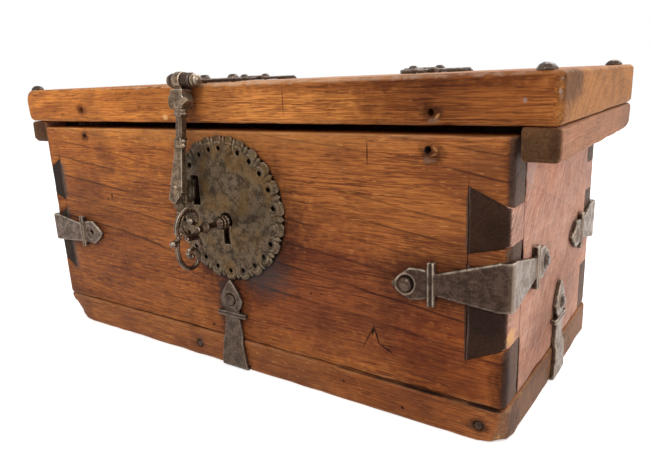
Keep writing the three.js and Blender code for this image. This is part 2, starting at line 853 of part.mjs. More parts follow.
// A strap leg's outline: u runs from the strap's root to its tip, w across it
function legOutline(leg, start) {
  const collarFrom = leg.reach - terminalLength - collarWidth / 2;
  const collarTo = collarFrom + collarWidth;
  const shieldLength = leg.reach - collarTo;
  const shield = shieldShares.map(([along, out]) => [collarTo + along * shieldLength, out * shieldHalf]);
  return [
    [start, leg.rootUp],
    [bodyCornerRadius, leg.rootUp],
    [collarFrom, neckHalf],
    [collarFrom, collarHalf],
    [collarTo, collarHalf],
    ...shield,
    [leg.reach, 0],
    ...shield.map(([u, w]) => [u, -w]).reverse(),
    [collarTo, -collarHalf],
    [collarFrom, -collarHalf],
    [collarFrom, -leg.neckDown],
    [bodyCornerRadius, -leg.rootDown],
    [start, -leg.rootDown],
  ];
}

function collarSpan(leg) {
  const centre = leg.reach - terminalLength;
  return [centre - collarWidth / 2, centre + collarWidth / 2];
}

function cornerStrap(strap) {
  const { sideX, sideY, face, side } = strap;
  const inner = fitGap;
  const outer = fitGap + strapThickness;
  const round = bodyCornerRadius;
  const fold = cornerBendRadius - outer;
  const ribbon = [
    [-inner, side.reach], ...arcPoints(round, round, round + inner, 180, 270, 3), [face.reach, -inner],
    [face.reach, -outer], ...arcPoints(fold, fold, cornerBendRadius, 270, 180, 4), [-outer, side.reach],
  ].map(([a, b]) => [sideX * (halfLength - a), sideY * (backY - b)]);
  const cornerZ = strapHeight(strap, 0);
  const facePoints = legOutline(face, -overrun)
    .map(([u, w]) => [sideX * (halfLength - u), strapHeight(strap, u) + w]);
  const sidePoints = legOutline(side, -overrun).map(([u, w]) => [sideY * (backY - u), cornerZ + w]);
  const [faceRoot, sideRoot] = [sideY * (backY - round), sideX * (halfLength - round)];
  const faceBody = prism(facePoints, 'y', faceRoot, sideY * (backY + outer + overrun));
  const sideBody = prism(sidePoints, 'x', sideRoot, sideX * (halfLength + outer + overrun));
  const proud = outer + collarProud;
  const [faceFrom, faceTo] = collarSpan(face);
  const [sideFrom, sideTo] = collarSpan(side);
  const faceZ = strapHeight(strap, (faceFrom + faceTo) / 2);
  const collars = [
    block(
      sideX * (halfLength - faceFrom), sideX * (halfLength - faceTo),
      sideY * (backY + inner), sideY * (backY + proud), faceZ - collarHalf, faceZ + collarHalf,
    ),
    block(
      sideX * (halfLength + inner), sideX * (halfLength + proud),
      sideY * (backY - sideFrom), sideY * (backY - sideTo), cornerZ - collarHalf, cornerZ + collarHalf,
    ),
  ];
  const body = prism(ribbon, 'z', 0, lidTop).intersect(faceBody.add(sideBody));
  return piece(strap.name, joined([body, ...collars]).subtract(chestHoles), darkIron);
}

// A bottom strap in its own frame: the chest's wall is the plane y = 0 and the outside is -y
function bottomStrap(strap) {
  const low = bottomStrapLift;
  const under = low + strapThickness;
  const wall = -fitGap;
  const step = wall - strap.proud;
  const outerWall = wall - strapThickness;
  const outerStep = step - strapThickness;
  const profile = [
    [wall, bottomStrapTip],
    [wall, baseThickness + bottomStrapCrank],
    [step, baseThickness - baseEase / 2],
    [step, under],
    [bottomStrapHook, under],
    [bottomStrapHook, low],
    ...arcPoints(outerStep + bottomStrapBend, low + bottomStrapBend, bottomStrapBend, 270, 180, 3),
    [outerStep, baseThickness - baseEase / 2],
    [outerWall, baseThickness + bottomStrapCrank],
    [outerWall, bottomStrapTip],
  ];
  const collarLow = bottomStrapCollarZ - bottomStrapCollarHeight / 2;
  const collarHigh = collarLow + bottomStrapCollarHeight;
  const leafLength = bottomStrapTip - collarHigh;
  const half = [
    [bottomStrapFootHalf, 0],
    [bottomStrapFootHalf, under],
    [bottomStrapNeckHalf, collarLow],
    [bottomStrapCollarHalf, collarLow],
    [bottomStrapCollarHalf, collarHigh],
    ...leafShares.map(([up, out]) => [out * bottomStrapLeafHalf, collarHigh + up * leafLength]),
  ];
  const outline = [...half, [0, bottomStrapTip], ...half.map(([a, z]) => [-a, z]).reverse()];
  const body = prism(profile, 'x', -bottomStrapCollarHalf, bottomStrapCollarHalf)
    .intersect(prism(outline, 'y', outerStep - overrun, bottomStrapHook + overrun));
  const collar = block(
    -bottomStrapCollarHalf, bottomStrapCollarHalf, outerWall - collarProud, wall, collarLow, collarHigh,
  );
  const holeHalf = shankWidth / 2 + fitGap;
  const hole = block(
    -holeHalf, holeHalf, outerWall - overrun, overrun,
    bottomStrapNailZ - holeHalf, bottomStrapNailZ + holeHalf,
  );
  const mesh = piece(strap.name, body.add(collar).subtract(hole), darkIron);
  mesh.position.set(strap.place[0], strap.place[1], 0);
  mesh.rotation.z = THREE.MathUtils.degToRad(strap.turn);
  return mesh;
}

// Strap hinge on the lid: its two outer eyes turn on the pin either side of the leaf's eye
function hingeStrap(hinge) {
  const low = lidTop + fitGap;
  const eyeFrom = hingeCentreEyeHalf + fitGap;
  const leg = { reach: hinge.reach, rootUp: hingeRootHalf, rootDown: hingeRootHalf, neckDown: neckHalf };
  const outline = legOutline(leg, -hingePivotBehindLid).map(([u, w]) => [hinge.x + w, lidBack - u]);
  const [collarFrom, collarTo] = collarSpan(leg);
  const collar = block(
    hinge.x - collarHalf, hinge.x + collarHalf,
    lidBack - collarFrom, lidBack - collarTo, low, strapOnLid + collarProud,
  );
  const left = hinge.x - hingeRootHalf;
  const right = hinge.x + hingeRootHalf;
  const eye = prism(circle(hingePivotY, hingePivotZ, hingeEyeRadius, 16), 'x', left, right);
  const notchFront = lidBack - hingeNotchInset;
  const notch = block(
    hinge.x - eyeFrom, hinge.x + eyeFrom, notchFront, hingePivotY + hingeEyeRadius + overrun,
    hingePivotZ - hingeEyeRadius - overrun, strapOnLid + overrun,
  );
  const boreOutline = circle(hingePivotY, hingePivotZ, hingePinRadius + fitGap, 12);
  const bore = prism(boreOutline, 'x', left - overrun, right + overrun);
  const solid = joined([prism(outline, 'z', low, strapOnLid), collar, eye])
    .subtract(notch)
    .subtract(bore)
    .subtract(lidHoles);
  return piece(`hinge_strap_${hinge.side}`, solid, darkIron);
}

// Hinge leaf: an eye on the pin, a stem behind the lid's edge, a crank and a long tail on the
// back board
function hingeLeaf(hinge) {
  const stemBack = leafStemFront + strapThickness;
  const leafBack = leafFront + strapThickness;
  const bottom = leafTop - leafReach;
  const profile = [
    [leafStemFront, leafTop],
    [leafStemFront, leafCrankTop],
    [leafFront, leafCrankTop - leafCrankDrop],
    [leafFront, bottom],
    [leafBack, bottom],
    [leafBack, leafCrankTop - leafCrankDrop - fitGap],
    [stemBack, leafCrankTop - fitGap],
    [stemBack, leafTop],
  ];
  const leg = { reach: leafReach, rootUp: hingeRootHalf, rootDown: hingeRootHalf, neckDown: neckHalf };
  const outline = legOutline(leg, 0).map(([u, w]) => [hinge.x + w, leafTop - u]);
  const body = prism(profile, 'x', hinge.x - collarHalf, hinge.x + collarHalf)
    .intersect(prism(outline, 'y', backY, stemBack + overrun));
  const [collarFrom, collarTo] = collarSpan(leg);
  const collar = block(
    hinge.x - collarHalf, hinge.x + collarHalf, leafFront, leafBack + collarProud,
    leafTop - collarFrom, leafTop - collarTo,
  );
  const left = hinge.x - hingeCentreEyeHalf;
  const right = hinge.x + hingeCentreEyeHalf;
  const stem = block(left, right, leafStemFront, stemBack, leafTop - strapThickness, hingePivotZ);
  const eye = prism(circle(hingePivotY, hingePivotZ, hingeEyeRadius, 16), 'x', left, right);
  const boreOutline = circle(hingePivotY, hingePivotZ, hingePinRadius + fitGap, 12);
  const solid = joined([body, collar, stem, eye])
    .subtract(prism(boreOutline, 'x', left - overrun, right + overrun))
    .subtract(chestHoles);
  return piece(`hinge_leaf_${hinge.side}`, solid, darkIron);
}

function hingePin(hinge) {
  const eyeEnd = hingeRootHalf + fitGap;
  const end = eyeEnd + hingePinHeadLength;
  const solid = turned([
    [0, -end],
    [hingePinHeadRadius, -end],
    [hingePinHeadRadius, -eyeEnd],
    [hingePinRadius, -eyeEnd],
    [hingePinRadius, eyeEnd],
    [hingePinHeadRadius, eyeEnd],
    [hingePinHeadRadius, end],
    [0, end],
  ], 12);
  const mesh = piece(`hinge_pin_${hinge.side}`, solid, darkIron);
  mesh.position.set(hinge.x, hingePivotY, hingePivotZ);
  mesh.rotation.y = Math.PI / 2;
  return mesh;
}

// Hasp plate on the lid, with its two clevis eyes
function haspPlate() {
  const low = lidTop + fitGap;
  const left = haspX + haspPlateShift - haspPlateHalf;
  const right = haspX + haspPlateShift + haspPlateHalf;
  const barFront = haspPivotY + haspPlateBarFrom;
  const barBack = haspPivotY + haspPlateBarTo;
  const back = frontY + haspPlateReach;
  const taper = haspPlateHalf * 0.75;
  const tail = [
    [left, barFront], [right, barFront], [right, back - taper], [right - taper, back],
    [left + taper, back], [left, back - taper],
  ];
  const ears = [
    [haspX - clevisLeftOuter, haspX - clevisInner],
    [haspX + clevisInner, haspX + clevisRightOuter],
  ];
  const parts = [
    prism(tail, 'z', low, strapOnLid),
    block(haspX - clevisLeftOuter, haspX + clevisRightOuter, barFront, barBack, low, strapOnLid),
  ];
  for (const [from, to] of ears) {
    parts.push(block(from, to, haspPivotY, barBack, low, strapOnLid));
    parts.push(prism(circle(haspPivotY, haspPivotZ, clevisEyeRadius, 14), 'x', from, to));
  }
  const boreOutline = circle(haspPivotY, haspPivotZ, haspPinRadius + fitGap, 12);
  const boreFrom = haspX - clevisLeftOuter - overrun;
  const boreTo = haspX + clevisRightOuter + overrun;
  const solid = joined(parts).subtract(prism(boreOutline, 'x', boreFrom, boreTo)).subtract(lidHoles);
  return piece('hasp_plate', solid, darkIron);
}

// The hasp's pin, with a knob at each end
function haspPin() {
  const leftFace = -clevisLeftOuter - fitGap;
  const rightFace = clevisRightOuter + fitGap;
  const solid = turned([
    [0, -haspPinLeftEnd],
    [haspPinKnobRadius * 0.6, -haspPinLeftEnd],
    [haspPinKnobRadius, (leftFace - haspPinLeftEnd) / 2],
    [haspPinKnobRadius * 0.7, leftFace],
    [haspPinRadius, leftFace],
    [haspPinRadius, rightFace],
    [haspPinKnobRadius, rightFace],
    [haspPinKnobRadius, (rightFace * 3 + haspPinRightEnd) / 4],
    [haspPinRadius, (rightFace + haspPinRightEnd) / 2],
    [haspPinKnobRadius * 0.9, (rightFace + haspPinRightEnd * 3) / 4],
    [haspPinKnobRadius * 0.5, haspPinRightEnd],
    [0, haspPinRightEnd],
  ], 12);
  const mesh = piece('hasp_pin', solid, darkIron);
  mesh.position.set(haspX, haspPivotY, haspPivotZ);
  mesh.rotation.y = Math.PI / 2;
  return mesh;
}

// A flattened double ring on the hasp arm, between two drops and between a front and a back
function haspRings(top, bottom, half, front, back) {
  const middle = (top + bottom) / 2;
  const profile = [
    [0, -bottom],
    [half - haspRingGroove, -bottom],
    [half, -(middle + bottom) / 2],
    [half - haspRingGroove, -middle],
    [half, -(top + middle) / 2],
    [half - haspRingGroove, -top],
    [0, -top],
  ];
  return turned(profile, haspFacets, (back - front) / 2 / half).translate([0, (front + back) / 2, 0]);
}

// The faceted knop under the hasp's eye: a collar, then a block that swells and narrows again
function haspKnop() {
  const side = (low, high, lowEnd, highEnd) => [
    [lowEnd, -haspKnopTop],
    [lowEnd, -haspKnopCollarBottom],
    [low, -haspKnopWidest],
    [lowEnd, -haspKnopBottom],
    [highEnd, -haspKnopBottom],
    [high, -haspKnopWidest],
    [highEnd, -haspKnopCollarBottom],
    [highEnd, -haspKnopTop],
  ];
  const [frontEnd, backEnd] = [haspKnopFront + haspKnopDepthTaper, haspKnopBack - haspKnopDepthTaper];
  const [left, right] = [-haspKnopHalf, haspKnopHalf];
  const [front, back, cut] = [haspKnopFront, haspKnopBack, haspKnopCorner];
  const plan = [
    [left + cut, front], [right - cut, front], [right, front + cut], [right, back - cut],
    [right - cut, back], [left + cut, back], [left, back - cut], [left, front + cut],
  ];
  return prism(side(left, right, -haspKnopEndHalf, haspKnopEndHalf), 'y', front, back)
    .intersect(prism(side(front, back, frontEnd, backEnd), 'x', left, right))
    .intersect(prism(plan, 'z', -haspKnopBottom, -haspKnopTop));
}

// Hasp arm, hanging plumb from its pin's axis: back is +Y, down is -Z
function haspArm() {
  const plateBackY = haspPlateBackOffset;
  const plateFrontY = plateBackY - haspPlateThickness;
  const ringFront = haspShankFront - haspRingGroove;
  const ringTop = haspKnopBottom - haspRingGroove;
  const plateTop = haspDoubleRingBottom - haspRingGroove;
  const lowerPlate = [
    [-haspPlateTopLeft, -plateTop],
    [-haspPlateWidestLeft, -haspPlateWidestAt],
    [-haspPlateTipLeft, -haspPlateBottom],
    [haspPlateRight, -haspPlateRightCorner],
    [haspPlateRight, -plateTop],
  ];
  const boss = turned([
    [0, 0],
    [haspBossRadius, 0],
    [haspBossRadius * 0.75, haspBossHeight * 0.7],
    [0, haspBossHeight],
  ], headFacets)
    .rotate([90, 0, 0])
    .translate([-haspBossLeft, plateFrontY + fitGap, -haspBossDrop]);
  const tenonMiddle = (stapleTop + stapleBottom) / 2;
  const holeHalf = tenonHalf + fitGap;
  const holeHalfHeight = tenonHalfHeight + fitGap;
  const bore = circle(0, 0, haspPinRadius + fitGap, 12);
  const solid = joined([
    prism(circle(0, 0, haspEyeRadius, 16), 'x', -haspEyeHalf, haspEyeHalf),
    block(
      -haspEyeHalf, haspEyeHalf, haspShankFront, haspShankBack,
      -haspKnopTop - haspRingGroove, -haspPinRadius,
    ),
    haspKnop(),
    haspRings(ringTop, haspRingBottom, haspRingHalf, ringFront, haspShankBack + haspRingGroove),
    block(
      -haspShankHalf, haspShankHalf, haspShankFront, haspShankBack,
      -haspDoubleRingTop - haspRingGroove, -haspRingBottom + haspRingGroove,
    ),
    haspRings(haspDoubleRingTop, haspDoubleRingBottom, haspDoubleRingHalf, ringFront, plateBackY),
    prism(lowerPlate, 'y', plateFrontY, plateBackY),
    boss,
  ])
    .subtract(prism(bore, 'x', -haspEyeHalf - overrun, haspEyeHalf + overrun))
    .subtract(block(
      -holeHalf, holeHalf, plateFrontY - overrun, plateBackY + overrun,
      -tenonMiddle - holeHalfHeight, -tenonMiddle + holeHalfHeight,
    ));
  return piece('hasp_arm', solid, darkIron);
}

// Staple: a plate with a window for the bolt, and a tenon through the arm, flush with its front
function haspStaple() {
  const root = haspPlateBackOffset + fitGap;
  const armFront = haspPlateBackOffset - haspPlateThickness;
  const tenonMiddle = (stapleTop + stapleBottom) / 2;
  const outline = [
    [root, -stapleTop],
    [stapleTip, -stapleTop],
    [stapleTip, -stapleBottom + stapleChamfer],
    [stapleTip - stapleChamfer, -stapleBottom],
    [root, -stapleBottom],
  ];
  const solid = joined([
    prism(outline, 'x', -stapleHalf, stapleHalf),
    block(
      -tenonHalf, tenonHalf, armFront, root + fitGap,
      -tenonMiddle - tenonHalfHeight, -tenonMiddle + tenonHalfHeight,
    ),
  ]).subtract(block(
    -stapleHalf - overrun, stapleHalf + overrun, stapleWindowFront, stapleWindowBack,
    -stapleWindowBottom, -stapleWindowTop,
  ));
  return piece('hasp_staple', solid, darkIron);
}

// Lock plate, in the lock's frame: the origin is on the key's axis at the front board's face.
// The petals that point down are worn shorter.
function plateOutline() {
  const centreZ = keyDrop;
  const points = [];
  plateAngles.forEach((angle, i) => {
    const next = i + 1 < plateAngles.length ? plateAngles[i + 1] : plateAngles[0] - 360;
    const pitch = next - angle;
    const rim = [
      [0, plateLobeRadius],
      [0.22, (plateLobeRadius + plateFluteRadius) / 2],
      [0.36, plateNotchRadius],
      [0.5, plateFluteRadius],
      [0.64, plateNotchRadius],
      [0.78, (plateLobeRadius + plateFluteRadius) / 2],
    ];
    for (const [share, radius] of rim) {
      const turn = angle + pitch * share;
      const down = Math.max(0, -Math.sin(THREE.MathUtils.degToRad(turn)));
      points.push(...arcPoints(0, centreZ, radius - plateLowerWear * down, turn, turn, 1).slice(0, 1));
    }
  });
  return points;
}

function lockPlate() {
  let plate = prism(plateOutline(), 'y', plateFront, plateBack);
  const nailAngles = Object.values(plateNails);
  const from = plateFront - overrun;
  const to = plateBack + overrun;
  for (const angle of plateAngles.filter((a) => !nailAngles.includes(a))) {
    const [[x, z]] = arcPoints(0, keyDrop, plateHoleCircle, angle, angle, 1);
    plate = plate.subtract(prism(circle(x, z, plateHoleRadius, 8), 'y', from, to));
  }
  plate = plate
    .subtract(prism(circle(0, 0, keyholeRadius, 16), 'y', from, to))
    .subtract(block(-keyholeSlotHalf, keyholeSlotHalf, from, to, -keyholeSlotDrop, 0))
    .subtract(block(slotOffset - slotHalf, slotOffset + slotHalf, from, to, slotLow, slotHigh))
    .subtract(chestHoles.translate([-lockX, -frontY, -keyZ]));
  return piece('lock_plate', plate, darkIron);
}

function lockBolt() {
  const front = plateBack + boltFront;
  const outline = [
    [boltLeft, boltLowBarBottom],
    [boltRight, boltLowBarBottom],
    [boltRight, boltLowBarTop],
    [boltNotchRight, boltLowBarTop],
    [boltNotchRight, boltNotchBottom],
    [boltNotchLeft, boltNotchBottom],
    [boltNotchLeft, boltLowBarTop],
    [boltRiserRight, boltLowBarTop],
    [boltRiserRight, boltTopBarBottom],
    [boltTopBarRight, boltTopBarBottom],
    [boltTopBarRight, boltTopBarTop],
    [boltNose, boltTopBarTop],
    [boltNose, boltTopBarBottom],
    [boltLeft, boltTopBarBottom],
  ];
  return piece('lock_bolt', prism(outline, 'y', front, front + boltThickness), paleIron);
}

// A keeper: a bridge of iron behind a bar of the bolt, its feet on the plate
function keeper(name, left, right, barBottom, barTop) {
  const foot = plateBack + fitGap;
  const web = plateBack + boltFront + boltThickness + fitGap;
  const back = web + lockIronThickness;
  const low = barBottom - keeperClearance;
  const high = barTop + keeperClearance;
  const solid = block(left, right, foot, back, low - lockIronThickness, high + lockIronThickness)
    .subtract(block(left - overrun, right + overrun, foot - overrun, web, low, high));
  return piece(name, solid, darkIron);
}

function boltSpring() {
  const foot = plateBack + fitGap;
  const front = plateBack + boltFront;
  const back = front + boltThickness;
  const leafLow = boltTopBarTop + fitGap;
  const solid = block(springFootLeft, springFootRight, foot, back, springFootBottom, springFootTop)
    .add(block(springLeafEnd, springFootRight, front, back, leafLow, leafLow + springLeafThickness));
  return piece('bolt_spring', solid, paleIron);
}

function lockBridge() {
  const foot = plateBack + fitGap;
  const web = plateBack + bridgeWebFront;
  const back = web + bridgeThickness;
  const solid = block(-bridgeHalf, bridgeHalf, foot, back, bridgeBottom, bridgeTop)
    .subtract(block(
      -bridgeHalf - overrun, bridgeHalf + overrun, foot - overrun, web,
      bridgeBottom + bridgeThickness, bridgeTop - bridgeThickness,
    ))
    .subtract(prism(circle(0, 0, keyPinRadius + fitGap, 12), 'y', web - overrun, back + overrun));
  return piece('lock_bridge', solid, darkIron);
}

function keyPin() {
  const headFront = plateBack + bridgeWebFront + bridgeThickness + fitGap;
  const solid = turned([
    [0, -headFront - keyPinHeadLength],
    [keyPinHeadRadius, -headFront - keyPinHeadLength],
    [keyPinHeadRadius, -headFront],
    [keyPinRadius, -headFront],
    [keyPinRadius, -keyPinFront],
    [0, -keyPinFront],
  ], 12);
  const mesh = piece('key_pin', solid, paleIron);
  mesh.rotation.x = Math.PI / 2;
  return mesh;
}

// A stroke of the key's bow, in the plane x = 0, through shares of the bow's size
function bowStrokeSolid(shares) {
  const points = shares.map(([out, up]) => new THREE.Vector3(0, -bowStart - out * bowSize, up * bowSize));
  const curve = new THREE.CatmullRomCurve3(points);
  const section = shapeOf(circle(0, 0, bowStroke, 6));
  const steps = 2 * points.length;
  return toSolid(new THREE.ExtrudeGeometry(section, { steps, extrudePath: curve, bevelEnabled: false }));
}

function bowBallSolid([out, up]) {
  const ball = new THREE.SphereGeometry(bowBall, 8, 6);
  ball.translate(0, -bowStart - out * bowSize, up * bowSize);
  return toSolid(ball);
}

// Key, in the lock's frame. Heights in the profile run outward from the front board.
function key() {
  const barrelEnd = plateBack + keyBarrelEnd;
  const boreEnd = keyPinFront - fitGap;
  const collarEnd = keyCollarStart + keyCollarLength;
  const collarMiddle = (keyCollarStart + collarEnd) / 2;
  const groove = fitGap;
  const profile = [
    [0, -boreEnd],
    [keyBoreRadius, -boreEnd],
    [keyBoreRadius, -barrelEnd],
    [keyBarrelRadius, -barrelEnd],
    [keyBarrelRadius, keyCollarStart],
    [keyCollarRadius, keyCollarStart],
    [keyCollarRadius, collarMiddle - 2 * groove],
    [keyBallRadius, collarMiddle - groove],
    [keyBallRadius, collarMiddle + groove],
    [keyCollarRadius, collarMiddle + 2 * groove],
    [keyCollarRadius, collarEnd],
    [keyBallRadius, collarEnd + 2 * groove],
    [keyBallRadius, collarEnd + keyBallRadius / 2],
    [keyNeckRadius, keyNeckStart],
    [keyNeckRadius, keyNeckEnd],
    [keyBalusterRadius, keyNeckEnd + keyBalusterRadius],
    [keyBalusterRadius, keyBalusterEnd - keyBalusterRadius],
    [keyNeckRadius, keyBalusterEnd],
    [keyNeckRadius, keyRoot],
    [0, keyRoot],
  ];
  const stem = turned(profile, 12).rotate([90, 0, 0]);
  const bitFront = plateBack + keyBitStart;
  const wardFront = plateBack + keyWardStart;
  const bit = block(
    -keyBitHalf, keyBitHalf, bitFront, bitFront + keyBitLength,
    -keyBitReach, -(keyBoreRadius + keyBarrelRadius) / 2,
  ).subtract(block(
    -keyBitHalf - overrun, keyBitHalf + overrun, wardFront, wardFront + keyWardWidth,
    -keyBitReach - overrun, -keyBitReach + keyWardDepth,
  ));
  const solid = joined([
    stem,
    bit,
    ...[bowUpperShares, bowBackShares, bowLowerShares, bowLeafShares, bowFinialShares].map(bowStrokeSolid),
    bowBallSolid(bowUpperShares[bowUpperShares.length - 1]),
    bowBallSolid(bowLowerShares[bowLowerShares.length - 1]),
    bowBallSolid(bowFinialShares[1]),
  ]);
  return piece('key', solid, paleIron);
}

function lock() {
  const group = new THREE.Group();
  group.add(
    lockPlate(),
    lockBolt(),
    keeper('bolt_keeper_upper', upperKeeperLeft, upperKeeperRight, boltTopBarBottom, boltTopBarTop),
    keeper('bolt_keeper_lower', lowerKeeperLeft, lowerKeeperRight, boltLowBarBottom, boltLowBarTop),
    boltSpring(),
    lockBridge(),
    keyPin(),
    key(),
  );
  group.position.set(lockX, frontY, keyZ);
  return group;
}

function hasp() {
  const group = new THREE.Group();
  group.add(haspArm(), haspStaple());
  group.position.set(haspX, haspPivotY, haspPivotZ);
  group.rotation.x = -THREE.MathUtils.degToRad(haspLeanDegrees);
  return group;
}

function chest() {
  const group = new THREE.Group();
  group.add(
    frontBoard(),
    backBoard(),
    sideBoard('right_side_board', 1, rightThickness),
    sideBoard('left_side_board', -1, leftThickness),
    baseBoard(),
    ...cornerStraps.map(cornerStrap),
    ...bottomStraps.map(bottomStrap),
    ...hinges.map(hingeLeaf),
    ...hinges.map(hingePin),
    ...[...chestNails, ...baseNails()].map(nailPiece),
    lock(),
  );
  return group;
}

function lid() {
  const group = new THREE.Group();
  group.add(
    lidBoard(),
    batten('right_lid_batten', 1),
    batten('left_lid_batten', -1),
    ...hinges.map(hingeStrap),
    haspPlate(),
    haspPin(),
    ...lidNails.map(nailPiece),
    hasp(),
  );
  return group;
}

const strongbox = new THREE.Group();
strongbox.add(chest(), lid());

export default strongbox;
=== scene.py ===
"""A small dovetailed strongbox: worn wooden boards with wrought iron straps, hinges, hasp and lock.

Metres, +Z up, and the front faces -Y. Every piece is made where the fixed model has its solid and
rides on the body that carries it. Sizes and places that stand in the classes are in millimetres.
"""

import logging
import math
from collections.abc import Callable
from dataclasses import dataclass, replace
from enum import Enum

import bmesh
import bpy
import numpy as np
from bmesh.types import BMesh
from bpy.types import Material, Mesh, Node, NodeSocket, NodeTree, Object
from mathutils import Matrix, Vector, noise

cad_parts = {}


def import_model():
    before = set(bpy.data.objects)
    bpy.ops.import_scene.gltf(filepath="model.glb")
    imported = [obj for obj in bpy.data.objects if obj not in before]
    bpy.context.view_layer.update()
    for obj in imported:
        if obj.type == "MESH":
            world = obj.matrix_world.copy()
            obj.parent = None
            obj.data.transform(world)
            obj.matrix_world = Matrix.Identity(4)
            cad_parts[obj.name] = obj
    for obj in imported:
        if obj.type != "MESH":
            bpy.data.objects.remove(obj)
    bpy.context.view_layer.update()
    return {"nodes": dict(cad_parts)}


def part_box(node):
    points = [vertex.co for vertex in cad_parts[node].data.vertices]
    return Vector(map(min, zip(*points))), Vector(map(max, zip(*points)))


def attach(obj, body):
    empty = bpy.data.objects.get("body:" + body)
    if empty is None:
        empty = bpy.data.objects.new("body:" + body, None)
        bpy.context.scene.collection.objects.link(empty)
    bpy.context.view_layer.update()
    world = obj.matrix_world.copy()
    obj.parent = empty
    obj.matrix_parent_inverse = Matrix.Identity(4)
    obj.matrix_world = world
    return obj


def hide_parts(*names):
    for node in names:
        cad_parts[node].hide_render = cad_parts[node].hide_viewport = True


LOG = logging.getLogger("strongbox")
MM = 0.001
WHITE = (1.0, 1.0, 1.0)
COLOUR_INPUTS = (0, 6, 7)
COLOUR_OUTPUT = 2
SAW_TURN = math.radians(-52)
SHARP_EDGE = math.radians(35)
FLAT_ANGLE = math.radians(0.5)
ENDS = ("right", "left")
NOISE_PLACES = ((3.1, 17.7, 8.3), (23.9, 5.3, 12.1), (11.3, 27.1, 19.9))
NEAR_EDGE = 2.2 * MM
WORN_BAND = 5.0 * MM
CHIP_DEPTH = 12 * MM
CELL_INSETS = (2.5 * MM, 5.5 * MM)
PICTURE_WIDTH = 36.0

Array = np.ndarray
Box = tuple[Vector, Vector]
Triple = tuple[float, float, float]
Relief = Callable[[Array, Array], Array]


class Grain(Enum):
    """Which way the fibres of a board run."""

    ALONG_X = (0, 1, 2)
    ALONG_Y = (1, 0, 2)


class Blend(Enum):
    """How a colour lies on the one below."""

    OVER = "MIX"
    INTO = "MULTIPLY"


class Side(Enum):
    """The ways that a face can look."""

    FRONT = (0.0, -1.0, 0.0)
    BACK = (0.0, 1.0, 0.0)
    RIGHT = (1.0, 0.0, 0.0)
    LEFT = (-1.0, 0.0, 0.0)
    TOP = (0.0, 0.0, 1.0)
    BOTTOM = (0.0, 0.0, -1.0)


class Value:
    """A node's output, whose arithmetic adds the nodes that it takes."""

    def __init__(self, nodes: "Tree", socket: NodeSocket) -> None:
        """Keeps the output and the tree that it is in."""
        self.nodes = nodes
        self.socket = socket

    def __add__(self, other: "Source") -> "Value":
        """The sum."""
        return self.nodes.math("ADD", self, other)

    def __sub__(self, other: "Source") -> "Value":
        """The difference."""
        return self.nodes.math("SUBTRACT", self, other)

    def __mul__(self, other: "Source") -> "Value":
        """The product."""
        return self.nodes.math("MULTIPLY", self, other)

    def __truediv__(self, other: "Source") -> "Value":
        """The quotient."""
        return self.nodes.math("DIVIDE", self, other)

    def parts(self) -> list["Value"]:
        """The three parts of a vector."""
        return list(self.nodes.add("SeparateXYZ", {}, self).values())

    def step(self, low: "Source", high: "Source", at_low: float = 0.0, at_high: float = 1.0) -> "Value":
        """A soft step from one value to another.

        Args:
            low: where the step begins.
            high: where it ends.
            at_low: the result before it.
            at_high: the result after it.

        Returns:
            The result.
        """
        smooth = {"interpolation_type": "SMOOTHSTEP"}
        return self.nodes.add("MapRange", smooth, self, low, high, at_low, at_high)["Result"]

    def noise(self, scale: float | Triple, detail: float = 3.0, distortion: float = 0.0) -> "Value":
        """A cloudy value between 0 and 1, read at this vector.

        Args:
            scale: how many clouds to the metre, along all axes or along each.
            detail: how many finer layers.
            distortion: how far it is stirred.

        Returns:
            The value.
        """
        place, size = (self * scale, 1.0) if isinstance(scale, tuple) else (self, scale)
        inputs = {"Vector": place, "Scale": size, "Detail": detail, "Distortion": distortion}
        return self.nodes.add("TexNoise", {}, **inputs)["Fac"]


Source = Value | float | Triple
Outputs = dict[str, Value]


